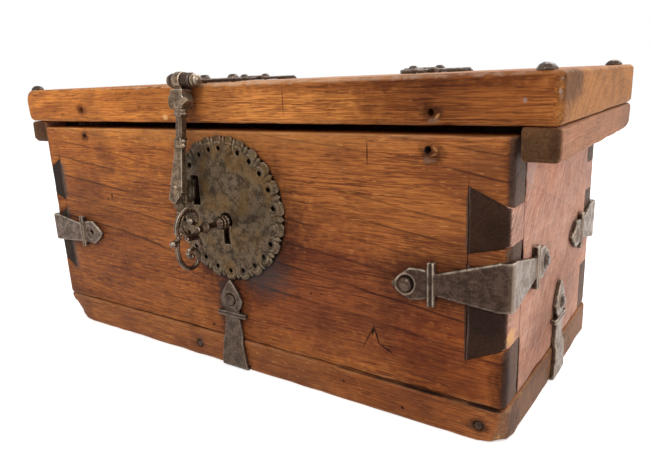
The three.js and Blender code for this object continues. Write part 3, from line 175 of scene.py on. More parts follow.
class Tree:
    """Adds shader nodes to one node tree."""

    def __init__(self, tree: NodeTree) -> None:
        """Works on a material's, a world's or a group's tree."""
        self.tree = tree

    def feed(self, socket: NodeSocket, value: Source) -> None:
        """Gives an input a link or a constant.

        Args:
            socket: the input.
            value: what it gets.
        """
        if isinstance(value, Value):
            self.tree.links.new(value.socket, socket)
        else:
            socket.default_value = (*value, 1.0) if socket.type == "RGBA" else value

    def fill(self, node: Node, *values: Source, **named: Source) -> "Outputs":
        """Feeds a node.

        Args:
            node: the node.
            values: what its first inputs get, in their order.
            named: what other inputs get, with spaces in their names as underscores.

        Returns:
            Its outputs by name.
        """
        for socket, value in zip(node.inputs, values):
            self.feed(socket, value)
        for name, value in named.items():
            self.feed(node.inputs[name.replace("_", " ")], value)
        return {socket.name: Value(self, socket) for socket in node.outputs}

    def add(self, kind: str, settings: dict[str, object], *values: Source, **named: Source) -> "Outputs":
        """Adds a node.

        Args:
            kind: its type name after ShaderNode.
            settings: the properties that it gets.
            values: what its first inputs get.
            named: what other inputs get by name.

        Returns:
            Its outputs by name.
        """
        node = self.tree.nodes.new(f"ShaderNode{kind}")
        for name, value in settings.items():
            setattr(node, name, value)
        return self.fill(node, *values, **named)

    def math(self, operation: str, *values: Source) -> Value:
        """Joins numbers, or vectors where the first value is one.

        Args:
            operation: the node's operation.
            values: what it joins.

        Returns:
            The result.
        """
        vector = values[0].socket.type == "VECTOR"
        outputs = self.add("VectorMath" if vector else "Math", {"operation": operation}, *values)
        return outputs["Vector" if vector and operation != "LENGTH" else "Value"]

    def combine(self, *parts: Source) -> Value:
        """A vector from three parts."""
        return self.add("CombineXYZ", {}, *parts)["Vector"]

    def layers(self, colour: Source, *coats: tuple) -> Source:
        """Lays coats of colour over one another.

        Args:
            colour: the lowest colour.
            coats: each one's cover, its colour, and its blend where it isn't plainly over.

        Returns:
            The uppermost colour.
        """
        for cover, coat, *blend in coats:
            node = self.tree.nodes.new("ShaderNodeMix")
            node.data_type = "RGBA"
            node.blend_type = (*blend, Blend.OVER)[0].value
            for place, value in zip(COLOUR_INPUTS, (cover, colour, coat)):
                self.feed(node.inputs[place], value)
            colour = Value(self, node.outputs[COLOUR_OUTPUT])
        return colour

    def group(self, effect: "Effect", **values: Source) -> "Outputs":
        """Places a shared effect and gives its outputs."""
        return self.add("Group", {"node_tree": effect.tree()}, **values)

    def shade(self, height: Value, strength: float, depth: float, **values: Source) -> None:
        """Feeds the material's shader.

        Args:
            height: the relief of its bumps.
            strength: how strongly the bumps show.
            depth: how deep they are in millimetres.
            values: what the shader's inputs get by name.
        """
        bump = self.add("Bump", {}, Height=height, Strength=strength, Distance=depth * MM)
        self.fill(self.tree.nodes["Principled BSDF"], Normal=bump["Normal"], **values)

    def seen_white(self) -> Value:
        """1 for the rays of the camera, reflections and transmission, and 0 for those that light."""
        light = self.add("LightPath", {})
        seen = self.math("MAXIMUM", light["Is Camera Ray"], light["Is Glossy Ray"])
        return self.math("MAXIMUM", seen, light["Is Transmission Ray"])


def start_material(name: str) -> tuple[Material, Tree]:
    """Starts a material with one shader, and gives it with its tree."""
    material = bpy.data.materials.new(name)
    material.use_nodes = True
    return material, Tree(material.node_tree)


def growth_rings(nodes: Tree, given: Outputs) -> tuple[Value, ...]:
    """Dark growth rings round a tilted heart line, for a board whose grain runs along its first axis."""
    point = given["Vector"]
    along = point.parts()[0]
    across = (point - given["Heart"] - given["Tilt"] * nodes.combine(along, along, along)) * (0, 1, 1)
    sway = point.noise((6, 20, 20), 2.0) - 0.5
    count = (nodes.math("LENGTH", across) + sway * given["Wobble"]) / given["Spacing"]
    share = nodes.math("FRACT", count)
    year = nodes.add("TexWhiteNoise", {"noise_dimensions": "1D"}, W=nodes.math("FLOOR", count))["Value"]
    fade = point.noise((14, 30, 30), 2.0).step(0.35, 0.6, 0.25, 1.0)
    line = share.step(0.86, 0.95) * share.step(0.95, 0.99, 1.0, 0.0)
    return line * (fade * year.step(0.1, 0.6, 0.3, 1.0)), share * year


def fibre(nodes: Tree, given: Outputs) -> tuple[Value, ...]:
    """Fibres, bands, open pores and light flecks drawn out along a board's first axis."""
    point = given["Vector"]
    threads = point.noise((13, 900, 900), 3.0, 0.3) * 0.42 + point.noise((75, 1450, 1450), 2.0, 0.2) * 0.58
    band = point.noise((8, 90, 90), 3.0, 0.5)
    pores = point.noise((85, 850, 850), 1.0)
    flecks = (point + (3, 1, 2)).noise((160, 950, 950), 2.0)
    return threads.step(0.4, 0.6), band.step(0.36, 0.64), pores.step(0.6, 0.72), flecks.step(0.6, 0.72)


def box_edges(nodes: Tree, given: Outputs) -> tuple[Value, ...]:
    """How near a point is to an edge of a box, broken up by noise."""
    point = given["Vector"]
    x, y, z = nodes.math("MINIMUM", point - given["Low"], given["High"] - point).parts()
    least, most = nodes.math("MINIMUM", x, y), nodes.math("MAXIMUM", x, y)
    second = nodes.math("MAXIMUM", least, nodes.math("MINIMUM", most, z))
    reach = second + (point.noise(70.0, 4.0) - 0.5) * given["Break"]
    return (reach.step(0.0, given["Width"], 1.0, 0.0),)


def spot(nodes: Tree, given: Outputs) -> tuple[Value, ...]:
    """A soft ragged spot of unit size round the origin."""
    stir = given["Place"].noise(210.0, 5.0) - 0.5
    reach = nodes.math("LENGTH", given["Vector"]) + stir * given["Ragged"]
    return (reach.step(given["Rim"], 1.0, 1.0, 0.0),)


def forging(nodes: Tree, given: Outputs) -> tuple[Value, ...]:
    """Hammer marks, patches of scale, rust, fine scratches and pits on wrought iron."""
    point = given["Vector"]
    patch = point.noise(150.0, 5.0, 0.4) * 0.55 + point.noise(620.0, 3.0, 0.2) * 0.45
    rust = point.noise(50.0, 5.0, 0.5).step(0.46, 0.66)
    turn, stretch = (0.5, 0.7, 0.9), (70, 1900, 1900)
    turned = nodes.add("Mapping", {}, Vector=point, Rotation=turn, Scale=stretch)["Vector"]
    scratch = turned.noise(1.0, 2.0, 0.5).step(0.66, 0.74)
    pits = point.noise(900.0, 2.0).step(0.6, 0.72)
    return point.noise(190.0, 3.0, 0.3), patch.step(0.4, 0.6), rust, scratch, pits


class Effect(Enum):
    """The shared effects: name, vector inputs, number inputs, outputs, and what draws each one.

    What draws one takes the group's tree and its inputs by name, and gives its outputs in their order.
    """

    RINGS = ("Rings", ("Vector", "Heart", "Tilt"), ("Spacing", "Wobble"), ("Line", "Tone"), growth_rings)
    FIBRE = ("Fibre", ("Vector",), (), ("Fibre", "Band", "Pores", "Flecks"), fibre)
    EDGES = ("Box edges", ("Vector", "Low", "High"), ("Width", "Break"), ("Wear",), box_edges)
    SPOT = ("Spot", ("Vector", "Place"), ("Ragged", "Rim"), ("Mask",), spot)
    FORGING = ("Forging", ("Vector",), (), ("Hammer", "Patch", "Rust", "Scratch", "Pits"), forging)

    def tree(self) -> NodeTree:
        """The effect's node group, built when it is first asked for."""
        name, vectors, numbers, outputs, draw = self.value
        if name in bpy.data.node_groups:
            return bpy.data.node_groups[name]
        tree = bpy.data.node_groups.new(name, "ShaderNodeTree")
        sockets = [(label, "INPUT", "Vector") for label in vectors]
        sockets += [(label, "INPUT", "Float") for label in numbers]
        sockets += [(label, "OUTPUT", "Float") for label in outputs]
        for label, way, kind in sockets:
            tree.interface.new_socket(label, in_out=way, socket_type=f"NodeSocket{kind}")
        nodes = Tree(tree)
        given = nodes.fill(tree.nodes.new("NodeGroupInput"))
        nodes.fill(tree.nodes.new("NodeGroupOutput"), *draw(nodes, given))
        return tree


@dataclass(frozen=True)
class StainAndShadow:
    """A spot of another tone on a board: real stains and tone changes, and painted shadow and shade round the
    iron and in the gaps between parts.

    Attributes:
        centre: its middle.
        size: how far it reaches each way.
        colour: its tone.
        strength: how far it covers the wood.
        turn: its turn about each axis in degrees.
        ragged: how uneven its rim is.
        rim: where its rim begins to fade, as a share of its size.
        blend: how it lies on the wood.
    """

    centre: Triple
    size: Triple
    colour: Triple
    strength: float
    turn: Triple = (0, 0, 0)
    ragged: float = 0.7
    rim: float = 0.35
    blend: Blend = Blend.INTO

    def lay(self, nodes: Tree, point: Value, colour: Source) -> Source:
        """Lays the spot over a colour.

        Args:
            nodes: the material's tree.
            point: the place that is coloured.
            colour: the wood's colour.

        Returns:
            The colour with the spot laid on it.
        """
        unit = nodes.add(
            "Mapping", {"vector_type": "TEXTURE"}, Vector=point, Location=[part * MM for part in self.centre],
            Rotation=[math.radians(part) for part in self.turn], Scale=[part * MM for part in self.size],
        )["Vector"]
        mask = nodes.group(Effect.SPOT, Vector=unit, Place=point, Ragged=self.ragged, Rim=self.rim)["Mask"]
        return nodes.layers(colour, (mask * self.strength, self.colour, self.blend))


@dataclass(frozen=True)
class WoodFinish:
    """Old waxed wood, drawn by its growth rings, fibres, wear and stains, with painted shadow and shade laid
    on it as well.

    Attributes:
        name: the material's name.
        pale: the colour between the rings.
        deep: the colour of darker bands.
        line: the colour of ring lines and pores.
        end: the colour of end grain.
        worn: the colour of worn edges.
        heart: a point on the tree's heart line, along and across the grain.
        tilt: how the heart line leans for each length along the grain.
        spacing: how far it is from ring to ring.
        wobble: how far rings wander.
        rings: how strongly they show.
        end_rings: how strongly they show on end grain.
        mottle: how strongly darker clouds show.
        smoke: how strongly bluish dirt shows.
        pores: how strongly the pores show.
        wear: how wide edges are worn.
        rub: how strongly worn edges show.
        fleck: the colour of light flecks.
        saw: how strongly saw marks show.
        roughness: how matt the face is.
        grain: the way that the fibres run.
        stains: spots of other tones, real stains and painted shadow and shade alike, from the lowest to the
            uppermost.
    """

    name: str
    pale: Triple
    deep: Triple
    line: Triple = (0.06, 0.018, 0.006)
    end: Triple = (0.12, 0.045, 0.02)
    worn: Triple = (0.62, 0.36, 0.18)
    heart: Triple = (0, 60, -80)
    tilt: Triple = (0, 0, -0.13)
    spacing: float = 12.0
    wobble: float = 9.0
    rings: float = 0.55
    end_rings: float = 0.3
    mottle: float = 0.5
    smoke: float = 0.6
    pores: float = 0.5
    wear: float = 2.2
    rub: float = 0.3
    fleck: Triple = (0.62, 0.28, 0.08)
    saw: float = 0.0
    roughness: float = 0.46
    grain: Grain = Grain.ALONG_X
    stains: tuple[StainAndShadow, ...] = ()

    def material(self, low: Vector, high: Vector) -> Material:
        """Makes the material for one board.

        Args:
            low: the board's lowest corner.
            high: its highest corner.

        Returns:
            The material.
        """
        material, nodes = start_material(self.name)
        coords = nodes.add("TexCoord", {})
        point = coords["Object"]
        axes = point.parts()
        drawn = nodes.combine(*(axes[i] for i in self.grain.value))
        rings = nodes.group(
            Effect.RINGS, Vector=drawn, Heart=Vector(self.heart) * MM, Tilt=self.tilt,
            Spacing=self.spacing * MM, Wobble=self.wobble * MM,
        )
        fibres = nodes.group(Effect.FIBRE, Vector=drawn)
        wide = self.wear * MM
        edges = nodes.group(Effect.EDGES, Vector=point, Low=low, High=high, Width=wide, Break=wide * 1.6)
        cloud = drawn.noise((11, 30, 30), 5.0, 0.8).step(0.44, 0.64)
        smoke = (point + (5, 0, 0)).noise(17.0, 5.0, 0.5).step(0.47, 0.68)
        sawn = nodes.layers(
            self.end,
            (rings["Tone"] * self.end_rings, self.line),
            (rings["Line"] * 0.7, (0.4, 0.34, 0.3), Blend.INTO),
            (point.noise(750.0, 3.0).step(0.42, 0.62) * 0.6, (0.55, 0.45, 0.38), Blend.INTO),
            (cloud * 0.5, (0.45, 0.42, 0.42), Blend.INTO),
        )
        facing = coords["Normal"].parts()[self.grain.value[0]]
        colour = nodes.layers(
            self.deep,
            (fibres["Fibre"], self.pale),
            (fibres["Band"] * 0.4, self.pale),
            (cloud * self.mottle, self.deep),
            (rings["Tone"] * 0.3, self.deep),
            (fibres["Flecks"] * 0.38, self.fleck),
            (rings["Line"] * self.rings, self.line),
            (smoke * self.smoke, (0.50, 0.50, 0.72), Blend.INTO),
            (fibres["Pores"] * self.pores, self.line),
            *self._saw_marks(nodes, point),
            (nodes.math("ABSOLUTE", facing).step(0.35, 0.7), sawn),
            (edges["Wear"] * self.rub, self.worn),
        )
        for spot_of_tone in self.stains:
            colour = spot_of_tone.lay(nodes, point, colour)
        height = fibres["Fibre"] + rings["Line"] * -0.6 - fibres["Pores"]
        matt = fibres["Fibre"] * 0.14 + self.roughness
        nodes.shade(height, 0.5, 0.35, Base_Color=colour, Roughness=matt, Specular_IOR_Level=0.08)
        return material

    def _saw_marks(self, nodes: Tree, point: Value) -> list[tuple]:
        """Draws slanting saw marks.

        Args:
            nodes: the material's tree.
            point: the place that is coloured.

        Returns:
            The marks' coats of colour, none on a planed board.
        """
        if not self.saw:
            return []
        turned = nodes.add("Mapping", {}, Vector=point, Rotation=(SAW_TURN, 0.0, 0.0))["Vector"]
        across, along, up = turned.parts()
        marks = nodes.group(Effect.FIBRE, Vector=nodes.combine(along, across, up))
        return [(marks["Fibre"] * self.saw, self.worn), (marks["Pores"] * (self.saw * 0.6), self.line)]


@dataclass(frozen=True)
class IronFinish:
    """Wrought iron with scale, patches of rust, rubbed edges that also carry a painted highlight, and hollows
    darkened partly with painted shade.

    Attributes:
        name: the material's name.
        dark: the colour of the scale.
        light: the colour where the scale is thin.
        rust: the colour of rusty patches.
        rubbed_and_highlit: the colour of rubbed edges, which also serves as their painted highlight.
        rusting: how much rust shows.
        roughness: how matt it is.
        metallic: how much it reflects as bare metal does.
        hammer: how deep the hammer marks are.
        bright: how strongly the rubbed edges and their painted highlight show.
        right_face_reflection: painted reflection: the lighter colour of the faces that look right, as if they
            reflected bright surroundings.
    """

    name: str
    dark: Triple = (0.030, 0.0165, 0.011)
    light: Triple = (0.064, 0.038, 0.027)
    rust: Triple = (0.075, 0.036, 0.018)
    rubbed_and_highlit: Triple = (0.32, 0.25, 0.20)
    rusting: float = 0.3
    roughness: float = 0.4
    metallic: float = 0.75
    hammer: float = 0.3
    bright: float = 0.6
    right_face_reflection: Triple | None = None

    def material(self) -> Material:
        """Makes the material, or gives the one made before."""
        if self.name in bpy.data.materials:
            return bpy.data.materials[self.name]
        material, nodes = start_material(self.name)
        coords = nodes.add("TexCoord", {})
        forged = nodes.group(Effect.FORGING, Vector=coords["Object"])
        patch = forged["Patch"]
        ridge = nodes.add("Attribute", {"attribute_name": "ridge"})["Fac"]
        looks_right, _, looks_up = coords["Normal"].parts()
        broken = forged["Hammer"].step(0.3, 0.6, 0.3, 1.0)
        # Rubbed edges: real wear, and a painted highlight too, kept strongest on edges that face up, as if
        # lit from above.
        rubbed_and_highlit = ridge.step(0.56, 0.86) * broken * looks_up.step(-0.3, 0.5, 0.35, 1.0)
        # Painted reflection: faces that look right get a lighter colour, as if they reflected bright
        # surroundings.
        right_face_reflection = []
        if self.right_face_reflection:
            right_face_reflection = [(looks_right.step(0.6, 0.9) * patch.step(0.0, 1.0, 0.75, 1.0), self.right_face_reflection)]
        colour = nodes.layers(
            self.dark,
            (patch, self.light),
            (forged["Rust"] * self.rusting, self.rust),
            # Hollows darkened to the scale's colour: scale gathered there, and painted shade in the hollows.
            (ridge.step(0.2, 0.5, 0.75, 0.0), self.dark),
            *right_face_reflection,
            (rubbed_and_highlit * self.bright, self.rubbed_and_highlit),
            (forged["Scratch"] * 0.12, self.rubbed_and_highlit),
        )
        matt = patch.step(0.0, 1.0, self.roughness + 0.12, self.roughness - 0.06) - rubbed_and_highlit * 0.12
        nodes.shade(
            forged["Hammer"] - forged["Pits"] * 0.18, 0.7, self.hammer, Base_Color=colour, Roughness=matt,
            Metallic=self.metallic, Specular_IOR_Level=0.25,
        )
        return material


STRAP_IRON = IronFinish("strap_iron")
CORNER_IRON = IronFinish("corner_iron", rubbed_and_highlit=(0.55, 0.44, 0.34), bright=0.9, right_face_reflection=(0.19, 0.136, 0.10))
PALE_IRON = IronFinish(
    "pale_iron", dark=(0.065, 0.042, 0.030), light=(0.155, 0.105, 0.077), rubbed_and_highlit=(0.56, 0.47, 0.37),
    roughness=0.42, bright=0.9,
)
HINGE_IRON = IronFinish("hinge_iron", dark=(0.050, 0.033, 0.023), light=(0.115, 0.079, 0.057))
PLATE_IRON = IronFinish(
    "plate_iron", dark=(0.042, 0.027, 0.016), light=(0.124, 0.083, 0.049), rust=(0.140, 0.072, 0.018),
    rubbed_and_highlit=(0.40, 0.32, 0.23), rusting=0.6, roughness=0.48,
)
NAIL_IRON = IronFinish("nail_iron", (0.045, 0.029, 0.022), (0.12, 0.083, 0.062), roughness=0.24, bright=0.7)
HASP_IRON = IronFinish(
    "hasp_iron", dark=(0.082, 0.054, 0.033), light=(0.255, 0.172, 0.110), rubbed_and_highlit=(0.74, 0.62, 0.49),
    roughness=0.32, bright=0.9,
)
KEY_IRON = IronFinish(
    "worn_key_iron", dark=(0.034, 0.019, 0.011), light=(0.085, 0.052, 0.032), rubbed_and_highlit=(0.66, 0.54, 0.42),
    roughness=0.22, metallic=0.85, hammer=0.2, bright=0.85,
)
LOCK_IRON = IronFinish("works_iron", dark=(0.07, 0.052, 0.038), light=(0.19, 0.15, 0.115))


def link(name: str, data: bpy.types.ID) -> Object:
    """Puts an object with some data in the scene."""
    thing = bpy.data.objects.new(name, data)
    bpy.context.scene.collection.objects.link(thing)
    return thing


def soft_noise(point: Vector, size: float, seed: float) -> Vector:
    """A smooth random vector for a place, its changes so many millimetres apart."""
    place = point / (size * MM) + Vector((seed, 2.3 * seed, -seed))
    return Vector([noise.noise(place + Vector(apart)) for apart in NOISE_PLACES])


def seed_of(name: str) -> float:
    """A number that is always the same for a name."""
    return float(sum(ord(letter) * (i + 1) for i, letter in enumerate(name)) % 97)


def hump(distance: Array, width: float, power: int = 2) -> Array:
    """1 in the middle, falling softly to 0 past a width."""
    return np.exp(-((distance / width) ** power))


def ramp(value: Array, start: float | Array, length: float) -> Array:
    """0 up to a start, and 1 a length past it."""
    return np.clip((value - start) / length, 0, 1)


def vertex_rows(mesh: Mesh, name: str) -> Array:
    """A vector that each vertex has, as rows of three numbers."""
    rows = np.empty(len(mesh.vertices) * 3)
    mesh.vertices.foreach_get(name, rows)
    return rows.reshape(-1, 3)


def copy_solid(node: str) -> BMesh:
    """A merged copy of a node's solid, its flat faces whole."""
    bm = bmesh.new()
    bm.from_mesh(bpy.data.objects[node].data)
    bmesh.ops.remove_doubles(bm, verts=bm.verts, dist=0.002 * MM)
    bmesh.ops.dissolve_limit(
        bm, angle_limit=FLAT_ANGLE, verts=bm.verts, edges=bm.edges, delimit=set(),
        use_dissolve_boundaries=False,
    )
    return bm


def bevel(bm: BMesh, edges: list[bmesh.types.BMEdge], offset: float, segments: int) -> None:
    """Rounds edges by an offset in millimetres."""
    bmesh.ops.bevel(
        bm, geom=edges, offset=offset * MM, segments=segments, profile=0.5, affect="EDGES",
        clamp_overlap=True, material=-1,
    )


def spun(profile: list[Vector], steps: int, merge: float) -> BMesh:
    """Spins a profile round Z into a closed form.

    Args:
        profile: its points from one end of the axis to the other.
        steps: how many facets the form gets.
        merge: how near vertices merge, in millimetres.

    Returns:
        The form.
    """
    bm = bmesh.new()
    verts = [bm.verts.new(point) for point in profile]
    edges = [bm.edges.new(pair) for pair in zip(verts, verts[1:])]
    bmesh.ops.spin(
        bm, geom=verts + edges, axis=(0, 0, 1), cent=(0, 0, 0), angle=math.tau, steps=steps, use_merge=True,
    )
    bmesh.ops.remove_doubles(bm, verts=bm.verts, dist=merge * MM)
    bmesh.ops.recalc_face_normals(bm, faces=bm.faces)
    return bm


def seat(bm: BMesh, place: Vector, axis: Vector) -> None:
    """Moves a form to a place and turns its Z along an axis."""
    turn = axis.to_track_quat("Z", "Y").to_matrix().to_4x4()
    bmesh.ops.transform(bm, matrix=Matrix.Translation(place) @ turn, verts=bm.verts)


def mesh_from(bm: BMesh, name: str, sharp_degrees: float) -> Mesh:
    """Turns a bmesh into a smooth-shaded mesh and frees it.

    Args:
        bm: the bmesh.
        name: the mesh's name.
        sharp_degrees: edges that turn more than this stay sharp.

    Returns:
        The mesh.
    """
    mesh = bpy.data.meshes.new(name)
    bm.to_mesh(mesh)
    bm.free()
    mesh.shade_smooth()
    mesh.set_sharp_from_angle(angle=math.radians(sharp_degrees))
    return mesh


def mark_ridges(mesh: Mesh, strength: float) -> None:
    """Keeps how much each vertex stands out as the attribute ridge, with 0.5 for flat.

    Args:
        mesh: the mesh.
        strength: how strongly a bend counts.
    """
    place, normal = vertex_rows(mesh, "co"), vertex_rows(mesh, "normal")
    ends = np.empty(len(mesh.edges) * 2, int)
    mesh.edges.foreach_get("vertices", ends)
    ends = ends.reshape(-1, 2)
    pairs = [(ends[:, 0], ends[:, 1]), (ends[:, 1], ends[:, 0])]
    bend, share = np.zeros(len(place)), np.zeros(len(place))
    for here, there in pairs:
        step = place[there] - place[here]
        length = np.linalg.norm(step, axis=1) + 1e-12
        np.add.at(bend, here, -(step * normal[here]).sum(1) / length)
        np.add.at(share, here, 1.0)
    bend /= np.maximum(share, 1.0)
    for _ in range(2):
        spread = bend.copy()
        for here, there in pairs:
            np.add.at(spread, here, bend[there])
        bend = spread / (share + 1.0)
    layer = mesh.attributes.new("ridge", "FLOAT", "POINT")
    layer.data.foreach_set("value", np.clip(0.5 + bend * strength, 0.0, 1.0).astype(np.float32))


@dataclass(frozen=True)
class Forge:
    """How a piece of iron is worked from its solid.

    Attributes:
        grain: the size of the mesh's cells.
        soften: how many times its edges are smoothed.
        dents: how deep the hammer's dents are.
        dent_size: how far apart they are.
        ridges: how strongly its ridges are marked.
    """

    grain: float = 0.7
    soften: int = 3
    dents: float = 0.22
    dent_size: float = 9.0
    ridges: float = 2.4

    def work(self, node: str, relief: Relief) -> Mesh:
        """Makes a forged mesh from a node's solid.

        Args:
            node: the node's name, which also seeds the dents.
            relief: gives each vertex's shift from the places and normals.

        Returns:
            The mesh.
        """
        blank = bpy.data.meshes.new(f"{node}_blank")
        bm = copy_solid(node)
        bm.to_mesh(blank)
        bm.free()
        holder = link(blank.name, blank)
        remesh = holder.modifiers.new("cells", "REMESH")
        remesh.mode = "VOXEL"
        remesh.voxel_size = self.grain * MM
        smooth = holder.modifiers.new("soften", "SMOOTH")
        smooth.factor = 0.5
        smooth.iterations = self.soften
        mesh = bpy.data.meshes.new_from_object(holder.evaluated_get(bpy.context.evaluated_depsgraph_get()))
        bpy.data.objects.remove(holder)
        bpy.data.meshes.remove(blank)
        mesh.name = node
        place, normal = vertex_rows(mesh, "co"), vertex_rows(mesh, "normal")
        seed = Vector([seed_of(node)] * 3)
        dents = np.array([noise.noise(Vector(p) / (self.dent_size * MM) + seed) for p in place])
        shift = relief(place, normal) + normal * (np.minimum(dents, 0.1)[:, None] * self.dents * MM)
        mesh.vertices.foreach_set("co", (place + shift).ravel())
        mesh.update()
        mark_ridges(mesh, self.ridges)
        mesh.shade_smooth()
        return mesh


@dataclass(frozen=True)
class Piece:
    """A piece that stands for one node.

    Attributes:
        node: the node.
        body: the body that the piece rides on.
        slot: the record's material slot; not used.
    """

    node: str
    body: str
    slot: str

    def settle(self, mesh: Mesh, material: Material, ending: str) -> None:
        """Puts the piece in the scene in place of its node.

        Args:
            mesh: its mesh, already in place.
            material: its finish.
            ending: how it was made, for its name.
        """
        piece = link(f"{self.node}_{ending}", mesh)
        mesh.materials.clear()
        mesh.materials.append(material)
        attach(piece, self.body)
        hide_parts(self.node)
        LOG.info("%s: %d faces on %s", piece.name, len(mesh.polygons), self.body)


@dataclass(frozen=True)
class Chip:
    """A place where a corner of a board is worn away."""

    centre: Triple
    radius: float
    depth: float


@dataclass(frozen=True)
class Board(Piece):
    """A board of the chest, its edges eased and worn by hand and use.

    Attributes:
        finish: its wood.
        ease: how far sharp outer edges are rounded.
        cell: the size of its faces.
        warp: how far its faces wander.
        ragged: how far its edges are worn back.
        chips: corners that are worn away.
    """

    finish: WoodFinish
    ease: float = 1.1
    cell: float = 9.0
    warp: float = 0.2
    ragged: float = 0.9
    chips: tuple[Chip, ...] = ()

    def build(self) -> None:
        """Makes the board."""
        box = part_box(self.node)
        bm = copy_solid(self.node)
        self._ease(bm, box)
        self._cut(bm, box)
        self._wear(bm, box)
        self.settle(mesh_from(bm, self.node, 50), self.finish.material(*box), "worn")

    @staticmethod
    def _depths(point: Vector, box: Box) -> list[float]:
        """How deep a point lies under the nearest face of each pair of the box."""
        return [min(p - a, b - p) for p, a, b in zip(point, *box)]

    def _ease(self, bm: BMesh, box: Box) -> None:
        """Rounds the board's outer edges and leaves its holes and joints crisp.

        Args:
            bm: the board.
            box: its lowest and highest corners.
        """
        outer = []
        for edge in bm.edges:
            if len(edge.link_faces) != 2 or edge.calc_face_angle(0.0) < SHARP_EDGE:
                continue
            middle = (edge.verts[0].co + edge.verts[1].co) / 2
            if sorted(self._depths(middle, box))[1] < NEAR_EDGE:
                outer.append(edge)
        bevel(bm, outer, self.ease, 3)

    def _cut(self, bm: BMesh, box: Box) -> None:
        """Cuts the board's faces into cells that can be moved, finer near its edges.

        Args:
            bm: the board.
            box: its lowest and highest corners.
        """
        for axis, (low, high) in enumerate(zip(*box)):
            span = high - low
            inner = int(span / (self.cell * MM))
            places = [low + span * i / inner for i in range(1, inner)] if inner > 2 else []
            for inset in CELL_INSETS:
                places += [low + inset, high - inset]
            normal = Vector([float(i == axis) for i in range(3)])
            for place in places:
                geometry = bm.verts[:] + bm.edges[:] + bm.faces[:]
                bmesh.ops.bisect_plane(
                    bm, geom=geometry, dist=0.01 * MM, plane_co=normal * place, plane_no=normal,
                )

    def _wear(self, bm: BMesh, box: Box) -> None:
        """Makes the faces wander and wears edges and corners back.

        Args:
            bm: the board.
            box: its lowest and highest corners.
        """
        seed = seed_of(self.node)
        centre = (box[0] + box[1]) / 2
        for vert in bm.verts:
            place = vert.co.copy()
            depths = self._depths(place, box)
            inward = [math.copysign(1.0, centre[i] - place[i]) for i in range(3)]
            wander = soft_noise(place, 70, seed) * self.warp * MM
            shift = Vector([abs(wander[i]) * inward[i] if depths[i] < MM else 0.0 for i in range(3)])
            bites = []
            second = sorted(depths)[1]
            if second < WORN_BAND:
                worn = max(0.0, soft_noise(place, 16, seed).x + 0.15) * self.ragged * MM
                bites.append((worn * (1 - second / WORN_BAND), WORN_BAND))
            for chip in self.chips:
                gap = (place - Vector(chip.centre) * MM).length / (chip.radius * MM)
                if gap < 1.0:
                    bites.append((chip.depth * MM * (1 - gap * gap) ** 2, CHIP_DEPTH))
            for bite, reach in bites:
                shift += Vector([inward[i] * bite if depths[i] < reach else 0.0 for i in range(3)])
            vert.co = place + shift


@dataclass(frozen=True)
class Forged(Piece):
    """A piece of iron forged from its node's solid.

    Attributes:
        finish: its iron.
        forge: how it is worked.
    """

    slot: str = "iron"
    finish: IronFinish = STRAP_IRON
    forge: Forge = Forge()

    def build(self) -> None:
        """Forges the piece."""
        self.settle(self.forge.work(self.node, self.relief), self.finish.material(), "forged")

    def relief(self, place: Array, normal: Array) -> Array:
        """The shift of each vertex from the places and normals: none on a plain piece."""
        return np.zeros_like(place)


@dataclass(frozen=True)
class Leg:
    """One leg of a strap: a band, a grooved collar, and an eye with a ring round it.

    Attributes:
        side: the way that its face looks.
        toward: the way that its tip points.
        eye: how far the nail is from the tip.
        collar: how far the collar's middle is from the tip.
        ring: the ring's radius.
        lift: how far the tip lies over the middle of the strap's box.
        climb: how far the leg climbs for each length from its tip.
    """

    side: Side
    toward: Side
    eye: float = 10.3
    collar: float = 27.4
    ring: float = 6.7
    lift: float = 0.0
    climb: float = 0.0

    def relief(self, box: Box, place: Array, normal: Array) -> Array:
        """How far each vertex of the strap moves for this leg.

        Args:
            box: the strap's lowest and highest corners.
            place: the vertices' places.
            normal: the vertices' normals.

        Returns:
            The shifts.
        """
        out, toward = np.array(self.side.value), np.array(self.toward.value)
        low, high = np.array(box[0]), np.array(box[1])
        face = max(low @ out, high @ out)
        back = (max(low @ toward, high @ toward) - place @ toward) / MM
        across = (place - (low + high) / 2) @ np.abs(np.cross(out, toward))
        aside = across / MM - self.lift - self.climb * back
        outer = ramp(normal @ out, 0.2, 0.5) * (face - place @ out < 5.5 * MM)
        radius = np.hypot(back - self.eye, aside)
        from_collar = back - self.collar
        height = 0.8 * hump(radius - self.ring, 1.0) - 0.6 * hump(radius, 5.0, 4)
        height += 0.2 * hump(np.abs(from_collar) - 1.5, 0.5) - 1.0 * hump(from_collar, 0.75, 4)
        return out * (height * outer * MM)[:, None]


@dataclass(frozen=True)
class Strap(Forged):
    """A wrought strap with its legs' relief."""

    legs: tuple[Leg, ...] = ()

    def relief(self, place: Array, normal: Array) -> Array:
        """The relief of all the legs together."""
        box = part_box(self.node)
        return sum(leg.relief(box, place, normal) for leg in self.legs)


class Head(Enum):
    """The nails' heads: their profiles as shares of radius and height, their facets and heights."""

    DOMED = (((1.0, 0.0), (0.97, 0.3), (0.68, 0.76), (0.3, 1.0)), 8, 3.9)
    ROSE = (((1.0, 0.0), (0.96, 0.3), (0.58, 0.9), (0.24, 1.0)), 7, 2.9)
    BUTTON = (((1.0, 0.0), (0.97, 0.42), (0.78, 0.8), (0.4, 1.0)), 13, 2.3)
    BALL = (((1.0, 0.0), (0.98, 0.25), (0.86, 0.58), (0.62, 0.85), (0.3, 0.98)), 15, 2.9)
    SUNK = (((1.0, 0.0), (0.98, 0.6), (0.7, 1.0), (0.3, 1.05)), 6, 1.5)


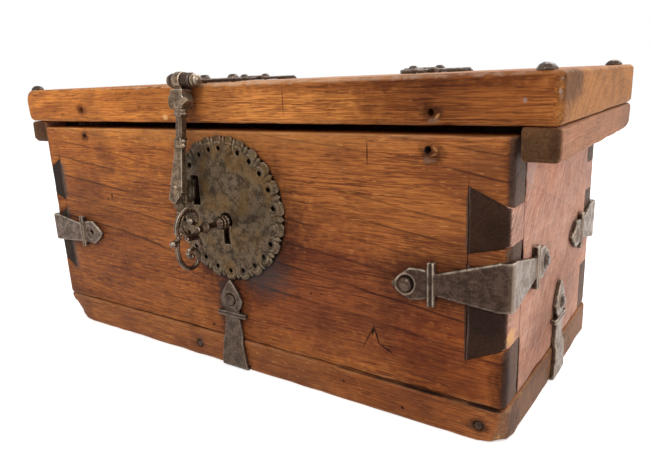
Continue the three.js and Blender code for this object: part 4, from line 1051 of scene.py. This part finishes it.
@dataclass(frozen=True)
class Nail(Piece):
    """A hand-forged nail.

    Attributes:
        side: the way that its head faces.
        head: the shape of its head.
        shank: half the width of its shank.
    """

    side: Side
    head: Head
    shank: float = 1.25

    def build(self) -> None:
        """Forges the nail."""
        low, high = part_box(self.node)
        out = Vector(self.side.value)
        size = high - low
        thick = max(range(3), key=lambda i: abs(out[i]))
        bm = self._head(min(size[i] for i in range(3) if i != thick) / 2)
        self._shank(bm, size[thick])
        seat(bm, (low + high) / 2 + out * size[thick] / 2, out)
        mesh = mesh_from(bm, self.node, 24)
        mark_ridges(mesh, 0.9)
        iron = {Head.BUTTON: PLATE_IRON, Head.SUNK: STRAP_IRON}.get(self.head, NAIL_IRON)
        self.settle(mesh, iron.material(), "forged")

    def _head(self, radius: float) -> BMesh:
        """The head of a given radius, its top at the origin and its facets uneven."""
        profile, facets, height = self.head.value
        tall = height * MM
        points = [Vector((share * radius * 0.97, 0, up * tall - tall)) for share, up in profile]
        bm = spun([Vector((0, 0, -tall)), *points, Vector((0, 0, 0))], facets, 0.02)
        seed = seed_of(self.node)
        for vert in bm.verts:
            if vert.co.z > -tall * 0.95:
                uneven = soft_noise(vert.co, 2.6, seed) * 0.11 * radius
                vert.co += Vector((uneven.x, uneven.y, -abs(uneven.z) * 0.6))
            vert.co.xy *= min(1.0, radius / max(vert.co.xy.length, MM * MM))
        bevel(bm, bm.edges[:], 0.3, 2)
        return bm

    def _shank(self, bm: BMesh, length: float) -> None:
        """Adds the square shank, drawn down to a point, to a nail of a given length."""
        sunk = self.head.value[2] * MM * 0.4
        reach = length - sunk
        wide = self.shank * MM * math.sqrt(2)
        place = Matrix.Translation((0, 0, -sunk - reach / 2)) @ Matrix.Rotation(math.radians(45), 4, "Z")
        tip = wide * 0.3
        bmesh.ops.create_cone(
            bm, cap_ends=True, segments=4, radius1=tip, radius2=wide, depth=reach, matrix=place,
        )


@dataclass(frozen=True)
class LockPlate(Forged):
    """The round lock plate: a ring of petals with a hole in each, parted by chiselled leaves.

    Attributes:
        centre: its middle, across and up.
        holes: the radius of the ring of holes.
        rim: its outer radius.
        worn: how much shorter the lowest petals are.
        hasp: how far right of the middle the hasp closes on the plate.
    """

    node: str = "lock_plate"
    body: str = "chest"
    finish: IronFinish = PLATE_IRON
    forge: Forge = Forge(grain=0.55, soften=2, dents=0.3, dent_size=11.0, ridges=2.6)
    centre: tuple[float, float] = (7.0, 128.0)
    holes: float = 46.6
    rim: float = 56.0
    worn: float = 2.4
    hasp: float = -29.0

    def _petals(self) -> Array:
        """The angles of the petals' holes, found on the fixed model, in radians from low to high."""
        place = np.array([vert.co for vert in bpy.data.objects[self.node].data.vertices]) / MM
        east, up = place[:, 0] - self.centre[0], place[:, 2] - self.centre[1]
        near = np.abs(np.hypot(east, up) - self.holes) < 2.3
        angles = np.sort(np.arctan2(up[near], east[near]))
        splits = np.flatnonzero(np.diff(angles) > math.radians(5)) + 1
        return np.array([group.mean() for group in np.split(angles, splits)])

    def relief(self, place: Array, normal: Array) -> Array:
        """The petals, leaves and chiselled grooves on the plate's face.

        Args:
            place: the vertices' places.
            normal: the vertices' normals.

        Returns:
            The shifts.
        """
        petals = self._petals()
        east, up = place[:, 0] / MM - self.centre[0], place[:, 2] / MM - self.centre[1]
        radius, angle = np.hypot(east, up), np.arctan2(up, east)
        ring = np.concatenate((petals[-1:] - math.tau, petals, petals[:1] + math.tau))
        after = np.searchsorted(ring, angle).clip(1, len(ring) - 1)
        pitch = ring[after] - ring[after - 1]
        share = (angle - ring[after - 1]) / pitch
        nearest = np.where(share < 0.5, ring[after - 1], ring[after])
        share = np.minimum(share, 1 - share)
        arc = pitch * radius
        from_hole = np.hypot(east - self.holes * np.cos(nearest), up - self.holes * np.sin(nearest))
        edge = self.rim - self.worn * np.clip(-np.sin(angle), 0, 1)
        groove = hump((share - 0.34) * arc, 0.6) * ramp(radius, 45.0, 5.0)
        arch = hump(from_hole - 4.6, 0.8) * (radius > 45.0) * (share < 0.36)
        leaf = hump((share - 0.5) * arc, 1.1) * ramp(radius, 44.0, 5.0)
        slope = ramp(radius, edge - 5.0, 5.0) * (share > 0.36)
        height = -0.95 * groove + 0.75 * arch - 0.35 * hump(from_hole, 3.4, 4) + 0.45 * leaf
        height -= 0.8 * slope + 0.5 * ramp(radius, edge - 2.0, 2.0)
        under_hasp = (np.abs(east - self.hasp) < 14.0) & (up > -20.0)
        height = np.where(under_hasp, np.minimum(height, -0.05), height)
        height -= 0.25 * hump(np.hypot(east, up + 7.9), 9.0, 4)
        shift = np.zeros_like(place)
        shift[:, 1] = -height * ramp(-normal[:, 1], 0.2, 0.5) * MM
        return shift


@dataclass(frozen=True)
class HaspArm(Forged):
    """The hasp's arm, which hangs from a pin through the two eyes of its plate on the lid.

    Attributes:
        pivot: the pin's axis.
        lean: how far the arm leans forward at rest, in degrees.
        boss: the boss's middle, to the right and under the pivot.
        shank: where the eight-sided shank begins and ends under the pivot.
        core: how far ahead of the pivot the shank's core lies.
    """

    node: str = "hasp_arm"
    body: str = "hasp"
    finish: IronFinish = HASP_IRON
    forge: Forge = Forge(grain=0.42, soften=2, dents=0.16, dent_size=5.0, ridges=2.2)
    pivot: Triple = (-22.0, -109.0, 223.0)
    lean: float = 7.5
    boss: tuple[float, float] = (-6.2, 79.3)
    shank: tuple[float, float] = (26.0, 41.2)
    core: float = 0.1

    def relief(self, place: Array, normal: Array) -> Array:
        """The groove round the arm's boss and the eight-sided shank.

        Args:
            place: the vertices' places.
            normal: the vertices' normals.

        Returns:
            The shifts.
        """
        angle = math.radians(self.lean)
        ahead = np.array((0.0, -math.cos(angle), math.sin(angle)))
        down = np.array((0.0, -math.sin(angle), -math.cos(angle)))
        arm = place / MM - np.array(self.pivot)
        side, drop, depth = arm[:, 0], arm @ down, arm @ ahead - self.core
        from_boss = np.hypot(side - self.boss[0], drop - self.boss[1])
        groove = -0.45 * hump(from_boss - 4.2, 0.6) * ramp(normal @ ahead, 0.1, 0.4)
        inside = (drop > self.shank[0]) & (drop < self.shank[1])
        over = np.clip(np.abs(side) + np.abs(depth) - 5.3, 0, 1.6) * inside / 2
        shift = ahead * (groove - np.sign(depth) * over)[:, None]
        shift[:, 0] -= np.sign(side) * over
        shift[:, 0] += np.clip(-side - 3.0, 0, 8) * 0.4 * (drop > 6.0) * (drop < 21.5)
        return shift * MM


@dataclass(frozen=True)
class HaspPin(Piece):
    """The turned pin: a ringed knob at its left and a stepped point at its right.

    Attributes:
        axis: a point on its axis.
        knob: the knob's profile, by distance from the left end and radius.
        point: the point's profile, by distance from the right end and radius.
    """

    node: str = "hasp_pin"
    body: str = "lid"
    slot: str = "iron"
    axis: Triple = HaspArm.pivot
    knob: tuple[tuple[float, float], ...] = (
        (0, 0), (0.2, 1.8), (0.6, 2.9), (0.9, 3.7), (1.3, 4.3), (1.8, 4.2), (2.1, 3.5),
        (2.4, 4.1), (3.1, 4.1), (3.5, 2.4),
    )
    point: tuple[tuple[float, float], ...] = (
        (-6.6, 2.4), (-6.4, 4.1), (-5.5, 4.3), (-4.9, 3.7), (-4.4, 3.0), (-3.9, 2.5), (-3.4, 2.7),
        (-3.0, 3.5), (-2.3, 4.0), (-1.3, 3.7), (-0.6, 2.7), (-0.1, 1.4), (0, 0),
    )

    def build(self) -> None:
        """Turns the pin."""
        axis = Vector(self.axis) * MM
        left, right = (corner.x / MM - self.axis[0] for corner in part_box(self.node))
        profile = [(left + along, radius) for along, radius in self.knob]
        profile += [(right + along, radius) for along, radius in self.point]
        bm = spun([Vector((radius * MM, 0, along * MM)) for along, radius in profile], 20, 0.01)
        seat(bm, axis, Vector(Side.RIGHT.value))
        seed = seed_of(self.node)
        for vert in bm.verts:
            vert.co += soft_noise(vert.co, 3.0, seed) * 0.08 * MM
        mesh = mesh_from(bm, self.node, 40)
        mark_ridges(mesh, 1.2)
        self.settle(mesh, HASP_IRON.material(), "turned")


def paint(*values: object, **named: object) -> StainAndShadow:
    """A spot that covers the wood and doesn't only darken it, used for stains, worn chips and painted shadow
    alike.
    """
    return StainAndShadow(*values, **named, blend=Blend.OVER)


PINK_SIDE = WoodFinish(
    "right_side_wood", pale=(0.56, 0.250, 0.150), deep=(0.30, 0.118, 0.075), line=(0.075, 0.028, 0.020),
    end=(0.036, 0.0165, 0.0095), worn=(0.74, 0.52, 0.42), heart=(0, 320, 60), tilt=(0, 0.1, -0.2), spacing=9,
    rings=0.2, end_rings=0.1, pores=0.45, fleck=(0.7, 0.42, 0.31), saw=0.5, roughness=0.62, rub=0.14,
    grain=Grain.ALONG_Y,
    stains=(
        StainAndShadow((208, -103, 130), (16, 6, 26), (0.98, 0.94, 0.86), 0.8),
        # Painted shade: bluish dark just under the front right strap, on the end grain.
        StainAndShadow((208, -103, 78), (16, 6, 13), (0.55, 0.62, 0.8), 0.8, ragged=0.3),
        StainAndShadow((208, -103, 48), (16, 6, 16), (1.2, 0.95, 0.8), 0.6),
        StainAndShadow((220, -40, 160), (9, 70, 34), (1.16, 1.05, 0.97), 1.0),
        StainAndShadow((220, 5, 60), (9, 90, 42), (0.62, 0.58, 0.56), 0.8),
        paint((220, -68, 165), (6, 13, 20), (0.52, 0.46, 0.43), 0.35, ragged=1.8),
        # Painted shadows round the straps on the right side.
        StainAndShadow((220, -45, 97), (8, 45, 18), (0.5, 0.45, 0.45), 0.7, ragged=0.4),
        StainAndShadow((220, 7, 55), (8, 16, 30), (0.45, 0.4, 0.4), 0.7, ragged=0.4),
        StainAndShadow((220, 60, 99), (8, 20, 17), (0.4, 0.36, 0.36), 0.8, ragged=0.4),
        StainAndShadow((220, -80, 190), (8, 60, 10), (0.55, 0.45, 0.42), 0.7),
        StainAndShadow((220, -40, 36), (9, 70, 26), (0.74, 0.66, 0.60), 0.8),
        paint((220, -95, 69), (5, 9, 6.5), (0.66, 0.36, 0.16), 0.9, ragged=1.8, rim=0.4),
        StainAndShadow((221, -80, 105), (3, 0.8, 83), (0.2, 0.12, 0.12), 0.9, ragged=0.1, rim=0.6),
        # Painted shade: a near-black band at the top of the end grain, under the lid.
        StainAndShadow((208, -103, 191), (17, 24, 5), (0.1, 0.1, 0.1), 1.0, ragged=0.0, rim=0.9),
    ),
)
FRONT_WOOD = WoodFinish(
    "front_wood", pale=(0.405, 0.136, 0.033), deep=(0.152, 0.039, 0.012), line=(0.045, 0.012, 0.005),
    end=(0.13, 0.072, 0.048), heart=(0, -30, 40), rings=0.85,
    stains=(
        paint((0, -103, 187), (240, 12, 17), (0.46, 0.19, 0.055), 0.35),
        StainAndShadow((-150, -103, 180), (140, 12, 52), (1.45, 1.45, 1.2), 1.0),
        # Painted shade: a dark line along the front board's foot, in the gap over the base.
        StainAndShadow((-70, -103, 24.7), (170, 5, 1.7), (0.16, 0.11, 0.10), 1.0, ragged=0.2),
        StainAndShadow((75, -103, 78), (150, 30, 66), (0.62, 0.50, 0.62), 0.9, ragged=0.9),
        StainAndShadow((-120, -103, 60), (90, 30, 50), (0.80, 0.74, 0.86), 0.7, ragged=0.9),
        StainAndShadow((180, -103, 50), (60, 30, 44), (0.80, 0.60, 0.50), 0.8, ragged=0.6),
        # Painted shadow: a bluish dark halo round the lock plate.
        StainAndShadow((15, -103, 120), (78, 12, 74), (0.26, 0.27, 0.36), 0.9, ragged=0.45, rim=0.5),
        # Painted shade: a near-black disc behind the lock plate, seen through its holes.
        StainAndShadow((7, -103, 128), (56, 3, 56), (0.03, 0.03, 0.03), 1.0, ragged=0.0, rim=0.95),
        # Painted shadow below and right of the lock plate.
        paint((38, -103, 82), (34, 12, 24), (0.055, 0.043, 0.042), 0.6, ragged=0.9, rim=0.2),
        # Painted shadow along the left edge of the front bottom strap.
        paint((-4, -103, 52), (9, 8, 36), (0.05, 0.04, 0.04), 0.6, ragged=0.9, rim=0.2),
        StainAndShadow((172, -103, 176), (12, 8, 9), (0.26, 0.22, 0.22), 0.9, ragged=1.3),
        paint((174.8, -103, 179), (3, 6, 1.1), (0.40, 0.18, 0.065), 0.6, turn=(0, 50, 0), ragged=1.5),
        paint((174, -103, 175.6), (3.4, 6, 0.9), (0.34, 0.15, 0.055), 0.5, turn=(0, -20, 0), ragged=1.5),
        paint((170, -103, 172.4), (6, 6, 2.4), (0.24, 0.15, 0.10), 0.4, ragged=2.4),
        StainAndShadow((170.2, -103, 177.5), (3, 8, 2.8), (0.04, 0.03, 0.03), 1.0, ragged=0.7),
        StainAndShadow((-157.7, -103, 179.5), (8, 8, 6), (0.3, 0.24, 0.22), 0.9, ragged=1.2),
        # Painted shadows round the two front corner straps and the front bottom strap.
        StainAndShadow((180, -103, 100), (62, 8, 25), (0.34, 0.30, 0.33), 0.85, ragged=0.35),
        StainAndShadow((-190, -103, 92.3), (60, 8, 24), (0.38, 0.33, 0.35), 0.8, ragged=0.35),
        StainAndShadow((5.4, -103, 50), (22, 8, 38), (0.36, 0.30, 0.33), 0.8, ragged=0.4),
        *(StainAndShadow((x, -103, 106), (0.55, 5, 83), (0.2, 0.15, 0.15), 1.0, ragged=0.0) for x in (195.4, -201.4)),
        StainAndShadow((129.6, -103, 175), (0.7, 5, 10), (0.2, 0.15, 0.15), 1.0, ragged=0.0),
        StainAndShadow((221, -103, 42), (15, 12, 34), (0.30, 0.25, 0.24), 0.9),
        StainAndShadow((221, -103, 170), (9, 12, 34), (0.42, 0.36, 0.33), 0.9),
        paint((222, -103, 68), (6, 6, 8), (0.62, 0.36, 0.16), 0.9),
        StainAndShadow((-219, -103, 176), (6, 10, 18), (0.3, 0.25, 0.25), 0.8),
        paint((131, -103, 56), (3, 6, 5), (0.34, 0.115, 0.03), 0.6, ragged=1.0),
        StainAndShadow((126.4, -103, 51), (0.8, 6, 12), (0.2, 0.15, 0.15), 0.9, turn=(0, 26, 0), ragged=0.5),
        StainAndShadow((133.4, -103, 55), (0.9, 6, 11), (0.12, 0.08, 0.08), 1.0, turn=(0, -18, 0), ragged=0.5),
        StainAndShadow((129, -103, 48.6), (4, 6, 0.8), (0.25, 0.2, 0.2), 0.8, turn=(0, 18, 0), ragged=0.5),
        StainAndShadow((130.6, -103, 57), (1.7, 6, 4.5), (0.04, 0.03, 0.03), 1.0, turn=(0, 12, 0), ragged=0.9),
        StainAndShadow((140, -103, 47), (7.5, 6, 0.9), (0.08, 0.05, 0.05), 1.0, turn=(0, 26, 0), ragged=0.7),
        StainAndShadow((-19, -103, 31), (2.2, 6, 1.6), (0.1, 0.07, 0.07), 1.0, ragged=0.5),
        StainAndShadow((81, -103, 75), (1.2, 6, 1.0), (0.12, 0.08, 0.08), 1.0, ragged=0.3),
        StainAndShadow((90, -103, 76), (1.0, 6, 1.0), (0.12, 0.08, 0.08), 1.0, ragged=0.3),
        StainAndShadow((-130.5, -103, 128.3), (1.5, 6, 2.8), (0.05, 0.04, 0.03), 1.0, ragged=0.3),
        StainAndShadow((-136.8, -103, 125.1), (1.3, 6, 2.0), (0.05, 0.04, 0.03), 1.0, ragged=0.2),
    ),
)
LID_WOOD = WoodFinish(
    "lid_board_wood", pale=(0.58, 0.215, 0.052), deep=(0.215, 0.062, 0.015), end=(0.46, 0.185, 0.048),
    heart=(0, 60, 70), tilt=(0, 0.02, 0.03), spacing=2.6, wobble=6, rings=0.7, end_rings=0.5,
    wear=2.4, smoke=0.35,
    stains=(
        StainAndShadow((190, -103, 205), (95, 12, 40), (0.48, 0.38, 0.33), 0.85, ragged=0.6),
        StainAndShadow((-150, -103, 206), (170, 12, 40), (1.35, 1.28, 1.05), 1.0),
        StainAndShadow((40, -103, 206), (80, 12, 30), (1.14, 1.16, 1.2), 1.0),
        StainAndShadow((60, -103, 200), (120, 12, 30), (1.05, 1.05, 1.0), 0.8),
        StainAndShadow((120, -103, 215.5), (150, 6, 5), (0.4, 0.3, 0.28), 0.7, ragged=1.2),
        StainAndShadow((243, -84, 213), (6, 32, 15), (0.38, 0.36, 0.37), 0.9, ragged=1.3),
        StainAndShadow((172.5, -103, 199), (9, 8, 7), (0.28, 0.23, 0.22), 0.9, ragged=1.3),
        paint((176, -106, 197.3), (3, 6, 1.1), (0.50, 0.23, 0.08), 0.6, turn=(0, -45, 0), ragged=1.5),
        paint((173.5, -103, 194.6), (6, 6, 2), (0.30, 0.17, 0.10), 0.4, ragged=2.4),
        StainAndShadow((-157.5, -103, 202), (9, 8, 7), (0.28, 0.22, 0.2), 0.9, ragged=1.2),
        StainAndShadow((66, -103, 207), (0.6, 5, 14), (0.3, 0.22, 0.2), 0.9, ragged=0.2),
        paint((-50.5, -103, 196), (4, 5, 3), (0.75, 0.42, 0.18), 0.8),
        paint((224.5, -103, 205.6), (1.6, 5, 1.9), (0.26, 0.19, 0.18), 0.7),
        paint((242.6, -102, 212), (2.0, 2.2, 9), (0.66, 0.56, 0.46), 0.9, ragged=2.4, rim=0.3),
        # Painted sheen: the lid's top gets a paler, greyer tone, as the top catches the light.
        paint((0, 0, 221), (260, 130, 6), (0.60, 0.42, 0.29), 0.45),
        # A pale line along the lid's front top edge: wear, and painted sheen where the edge catches the
        # light.
        paint((60, -103, 219.4), (230, 5, 2.2), (0.60, 0.40, 0.27), 0.45, ragged=1.8, rim=0.1),
        StainAndShadow((-24, -103, 205), (22, 12, 30), (0.5, 0.42, 0.4), 0.8),
    ),
)
BASE_WOOD = WoodFinish(
    "base_wood", pale=(0.37, 0.128, 0.037), deep=(0.150, 0.043, 0.016), end=(0.26, 0.125, 0.062),
    heart=(0, 20, -30), tilt=(0, 0, 0.05), spacing=6, wear=2.6, rub=0.2,
    stains=(
        StainAndShadow((-35.8, -105, 11), (6, 6, 5), (0.25, 0.2, 0.2), 0.9, ragged=1.0),
        StainAndShadow((204.7, -105, 11), (9, 6, 7), (0.22, 0.21, 0.24), 0.9, ragged=0.9),
        # Painted shade: a dark line along the base's top front edge, in the gap under the front board.
        StainAndShadow((235, -104.7, 25.6), (260, 4, 3.2), (0.05, 0.03, 0.03), 1.0, ragged=0.15, rim=0.6),
        StainAndShadow((223, -90, 14), (5, 20, 16), (0.42, 0.40, 0.44), 0.8, ragged=1.0),
        StainAndShadow((223, 0, 22), (5, 110, 8), (0.66, 0.58, 0.52), 0.8, ragged=1.0),
        # Painted shadow round the front bottom strap.
        StainAndShadow((5.4, -105, 12), (18, 6, 24), (0.4, 0.34, 0.34), 0.8),
        paint((217.5, -105, 4.5), (6, 6, 3.6), (0.66, 0.33, 0.11), 0.9, ragged=1.8, rim=0.3),
        StainAndShadow((107, -105, 15), (1.4, 6, 1.3), (0.12, 0.08, 0.08), 1.0, ragged=0.4),
        StainAndShadow((153, -105, 8), (2.0, 6, 1.4), (0.08, 0.06, 0.06), 1.0, turn=(0, 40, 0), ragged=0.5),
        StainAndShadow((150, -105, 14), (80, 10, 20), (0.72, 0.56, 0.45), 0.7),
    ),
)
BATTEN_WOOD = WoodFinish(
    "batten_wood", pale=(0.41, 0.185, 0.108), deep=(0.235, 0.093, 0.050), end=(0.115, 0.055, 0.024),
    heart=(0, 235, 120), tilt=(0, 0, 0.05), spacing=6, rings=0.3, roughness=0.58,
    saw=0.25, rub=0.12, grain=Grain.ALONG_Y,
    stains=(
        StainAndShadow((242, -101, 182), (7, 6, 16), (0.5, 0.44, 0.42), 0.8),
        StainAndShadow((225, -101, 190), (8, 6, 6), (1.3, 1.2, 1.1), 0.7),
    ),
)
LEFT_SIDE = replace(
    PINK_SIDE, name="left_side_wood", pale=(0.42, 0.19, 0.09), deep=(0.24, 0.09, 0.045),
    end=(0.042, 0.026, 0.018), heart=(0, -320, 60),
    stains=(
        StainAndShadow((-212, -103, 136), (14, 6, 24), (0.75, 0.85, 1.0), 0.8),
        # Painted shadows round the straps on the left side.
        StainAndShadow((-220, -45, 92), (8, 45, 18), (0.5, 0.45, 0.45), 0.7, ragged=0.4),
        StainAndShadow((-220, 60, 99), (8, 20, 17), (0.4, 0.36, 0.36), 0.8, ragged=0.4),
    ),
)
BACK_WOOD = replace(
    FRONT_WOOD, name="back_wood", heart=(0, 30, 60),
    stains=(
        # Painted shadows round the hinge leaves and the back corner straps.
        *(StainAndShadow((x, 103, 140), (22, 8, 50), (0.4, 0.36, 0.36), 0.8, ragged=0.4) for x in (99.5, -99.5)),
        *(StainAndShadow((x, 103, 98), (60, 8, 24), (0.38, 0.33, 0.35), 0.8, ragged=0.35) for x in (190, -190)),
        StainAndShadow((0, 103, 60), (160, 20, 50), (0.7, 0.62, 0.64), 0.8, ragged=0.9),
    ),
)


@dataclass(frozen=True)
class Chest:
    """The chest's boards."""

    boards: tuple[Board, ...] = (
        Board("front_board", "chest", "body_wood", FRONT_WOOD),
        Board("back_board", "chest", "body_wood", BACK_WOOD),
        Board("right_side_board", "chest", "side_wood", PINK_SIDE),
        Board("left_side_board", "chest", "side_wood", LEFT_SIDE),
        Board(
            "base_board", "chest", "body_wood", BASE_WOOD,
            chips=(
                Chip((-221.5, -104.7, 0), 30, 7), Chip((221.5, -104.7, 2), 14, 2.5),
                Chip((90, -104.7, 24.4), 9, 1.2),
            ),
        ),
        Board(
            "lid_board", "lid", "lid_wood", LID_WOOD,
            chips=(
                Chip((243.3, -103, 219), 6, 0.9), Chip((-243.3, -103, 220.2), 8, 2.4),
                Chip((-243.3, -103, 192), 6, 1.3),
            ),
        ),
        Board("right_lid_batten", "lid", "lid_wood", BATTEN_WOOD, ease=2.4),
        Board("left_lid_batten", "lid", "lid_wood", BATTEN_WOOD, ease=2.4),
    )

    def build(self) -> None:
        """Makes every board."""
        for board in self.boards:
            board.build()


@dataclass(frozen=True)
class Mounts:
    """The straps, hinges and their nails.

    Attributes:
        corners: the irons and legs of the corner straps.
        bottoms: the irons of the bottom straps.
        nails: the sides, heads and names of the nails.
        pin: how the hinge pins are worked.
    """

    corners: tuple[tuple[str, IronFinish, Leg, Leg], ...] = (
        (
            "front_right", CORNER_IRON,
            Leg(Side.FRONT, Side.LEFT, lift=-6.0, climb=0.11), Leg(Side.RIGHT, Side.BACK, lift=2.1),
        ),
        ("front_left", PALE_IRON, Leg(Side.FRONT, Side.RIGHT, eye=15.9), Leg(Side.LEFT, Side.BACK)),
        ("back_right", CORNER_IRON, Leg(Side.BACK, Side.LEFT), Leg(Side.RIGHT, Side.FRONT)),
        ("back_left", STRAP_IRON, Leg(Side.BACK, Side.RIGHT), Leg(Side.LEFT, Side.FRONT)),
    )
    bottoms: tuple[tuple[Side, IronFinish], ...] = (
        (Side.FRONT, HINGE_IRON), (Side.RIGHT, CORNER_IRON), (Side.LEFT, PALE_IRON),
    )
    nails: tuple[tuple[Side, Head, tuple[str, ...]], ...] = (
        (Side.FRONT, Head.BALL, ("corner_nail_front_right_front", "bottom_nail_front")),
        (Side.RIGHT, Head.ROSE, ("corner_nail_front_right_side",)),
        (Side.RIGHT, Head.BALL, ("bottom_nail_right",)),
        (Side.LEFT, Head.ROSE, ("corner_nail_front_left_side", "corner_nail_back_left_side")),
        (Side.LEFT, Head.BALL, ("bottom_nail_left",)),
        (Side.BACK, Head.ROSE, ("corner_nail_back_right_back", "corner_nail_back_left_back")),
        (Side.BACK, Head.ROSE, ("hinge_leaf_right_nail", "hinge_leaf_left_nail")),
        (Side.TOP, Head.ROSE, ("hinge_strap_right_nail_front", "hinge_strap_right_nail_back")),
        (Side.TOP, Head.ROSE, ("hinge_strap_left_nail_front", "hinge_strap_left_nail_back")),
        (Side.TOP, Head.ROSE, ("hasp_plate_nail_front", "hasp_plate_nail_back")),
        (Side.TOP, Head.DOMED, ("batten_nail_right_front", "batten_nail_right_back")),
        (Side.TOP, Head.DOMED, ("batten_nail_left_front", "batten_nail_left_back")),
        (Side.FRONT, Head.BUTTON, ("lock_plate_nail_top", "lock_plate_nail_right", "lock_plate_nail_left")),
        (Side.FRONT, Head.SUNK, ("base_nail_left", "base_nail_right")),
    )
    pin: Forge = Forge(grain=0.35, soften=2, dents=0.05)

    def build(self) -> None:
        """Makes every strap, hinge and nail."""
        for corner, iron, *legs in self.corners:
            Strap(f"corner_strap_{corner}", "chest", finish=iron, legs=tuple(legs)).build()
        for side, iron in self.bottoms:
            leg = Leg(side, Side.TOP, eye=16.4, collar=28.6, ring=6.4)
            Strap(f"bottom_strap_{side.name.lower()}", "chest", finish=iron, legs=(leg,)).build()
        hinges = (
            ("strap", "lid", Leg(Side.TOP, Side.FRONT, eye=15.5)),
            ("leaf", "chest", Leg(Side.BACK, Side.BOTTOM)),
        )
        for name, body, leg in hinges:
            for end in ENDS:
                Strap(f"hinge_{name}_{end}", body, finish=HINGE_IRON, legs=(leg,)).build()
        for end in ENDS:
            Forged(f"hinge_pin_{end}", "chest", forge=self.pin).build()
        for side, head, names in self.nails:
            for name in names:
                Nail(name, "lid" if side is Side.TOP else "chest", "iron", side, head).build()


@dataclass(frozen=True)
class Lock:
    """The lock: its plate, its key, its hasp, and the works behind the plate."""

    pieces: tuple[Forged | HaspPin, ...] = (
        LockPlate(),
        Forged("key", "key", "key_iron", KEY_IRON, Forge(0.36, 4, dents=0.06, dent_size=3.0, ridges=3.2)),
        HaspArm(),
        Forged("hasp_staple", "hasp", finish=PLATE_IRON, forge=Forge(0.4, 2, dents=0.1, dent_size=4.0)),
        Forged("hasp_plate", "lid", forge=Forge(grain=0.55, soften=3, dents=0.2, dent_size=7.0)),
        HaspPin(),
    )
    works: tuple[str, ...] = (
        "lock_bolt", "bolt_keeper_upper", "bolt_keeper_lower", "bolt_spring", "lock_bridge", "key_pin",
    )

    def build(self, nodes: dict[str, Object]) -> None:
        """Makes the pieces and dresses the works.

        Args:
            nodes: the fixed model's nodes by name.
        """
        for piece in self.pieces:
            piece.build()
        for name in self.works:
            solid = nodes[name].data
            solid.materials.clear()
            solid.materials.append(LOCK_IRON.material())


@dataclass(frozen=True)
class Studio:
    """The camera at the photograph's place, a white floor, and plain soft light.

    Attributes:
        camera: the camera's place.
        yaw: its turn to the left in radians.
        pitch: its tilt up in radians.
        roll: its roll in radians.
        lens: its focal length.
        sky: the strength of the light from all round.
        glow: how brightly the floor shows where only the camera sees it.
        lamps: each one's name, its place and width in metres, and its watts.
    """

    camera: Triple = (320.4, -421.0, 222.7)
    yaw: float = 0.616
    pitch: float = -0.264
    roll: float = -0.045
    lens: float = 33.38
    sky: float = 0.62
    glow: float = 0.45
    lamps: tuple[tuple[str, Triple, float, float], ...] = (
        ("key_light", (0.5, -1.5, 1.7), 1.3, 22.0),
        ("rim_light", (0.3, 1.3, 1.5), 1.4, 20.0),
        ("side_light", (1.9, 0.1, 0.9), 1.2, 9.0),
    )

    def build(self) -> None:
        """Makes the camera, the floor, the world and the lamps."""
        self._camera()
        self._floor()
        self._world()
        for name, place, size, watts in self.lamps:
            data = bpy.data.lights.new(name, "AREA")
            data.energy = watts
            data.size = size
            aim = Vector((0, 0, 0.12)) - Vector(place)
            turn = aim.to_track_quat("-Z", "Y").to_matrix().to_4x4()
            link(name, data).matrix_world = Matrix.Translation(place) @ turn
        bpy.context.scene.view_settings.view_transform = "Standard"

    def _camera(self) -> None:
        """Places the camera."""
        data = bpy.data.cameras.new("camera")
        data.lens = self.lens
        data.sensor_width = PICTURE_WIDTH
        data.sensor_fit = "HORIZONTAL"
        data.clip_start = 0.01
        level = Vector((math.cos(self.yaw), math.sin(self.yaw), 0.0))
        flat = math.cos(self.pitch)
        ahead = Vector((-level.y * flat, level.x * flat, math.sin(self.pitch)))
        upright = level.cross(ahead)
        right = level * math.cos(self.roll) + upright * math.sin(self.roll)
        up = upright * math.cos(self.roll) - level * math.sin(self.roll)
        turn = Matrix((right, up, -ahead)).transposed().to_4x4()
        camera = link("camera", data)
        camera.matrix_world = Matrix.Translation(Vector(self.camera) * MM) @ turn
        bpy.context.scene.camera = camera

    def _floor(self) -> None:
        """Lays a white floor that keeps soft shadows."""
        bm = bmesh.new()
        bmesh.ops.create_circle(bm, cap_ends=True, segments=64, radius=6.0)
        mesh = bpy.data.meshes.new("floor")
        bm.to_mesh(mesh)
        bm.free()
        material, nodes = start_material("floor_white")
        nodes.fill(
            material.node_tree.nodes["Principled BSDF"], Base_Color=(0.9, 0.89, 0.875), Roughness=0.9,
            Emission_Color=WHITE, Emission_Strength=nodes.seen_white() * self.glow,
        )
        mesh.materials.append(material)
        link("floor", mesh)

    def _world(self) -> None:
        """Lights the object from all round, and shows white where nothing stands."""
        world = bpy.data.worlds.new("studio")
        bpy.context.scene.world = world
        world.use_nodes = True
        nodes = Tree(world.node_tree)
        strength = nodes.seen_white().step(0.0, 1.0, self.sky, 1.0)
        nodes.fill(world.node_tree.nodes["Background"], Color=WHITE, Strength=strength)


def main() -> None:
    """Builds the strongbox and its studio."""
    logging.basicConfig(level=logging.INFO, format="%(message)s")
    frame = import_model()
    Studio().build()
    Chest().build()
    Mounts().build()
    Lock().build(frame["nodes"])


if __name__ == "__main__":
    main()
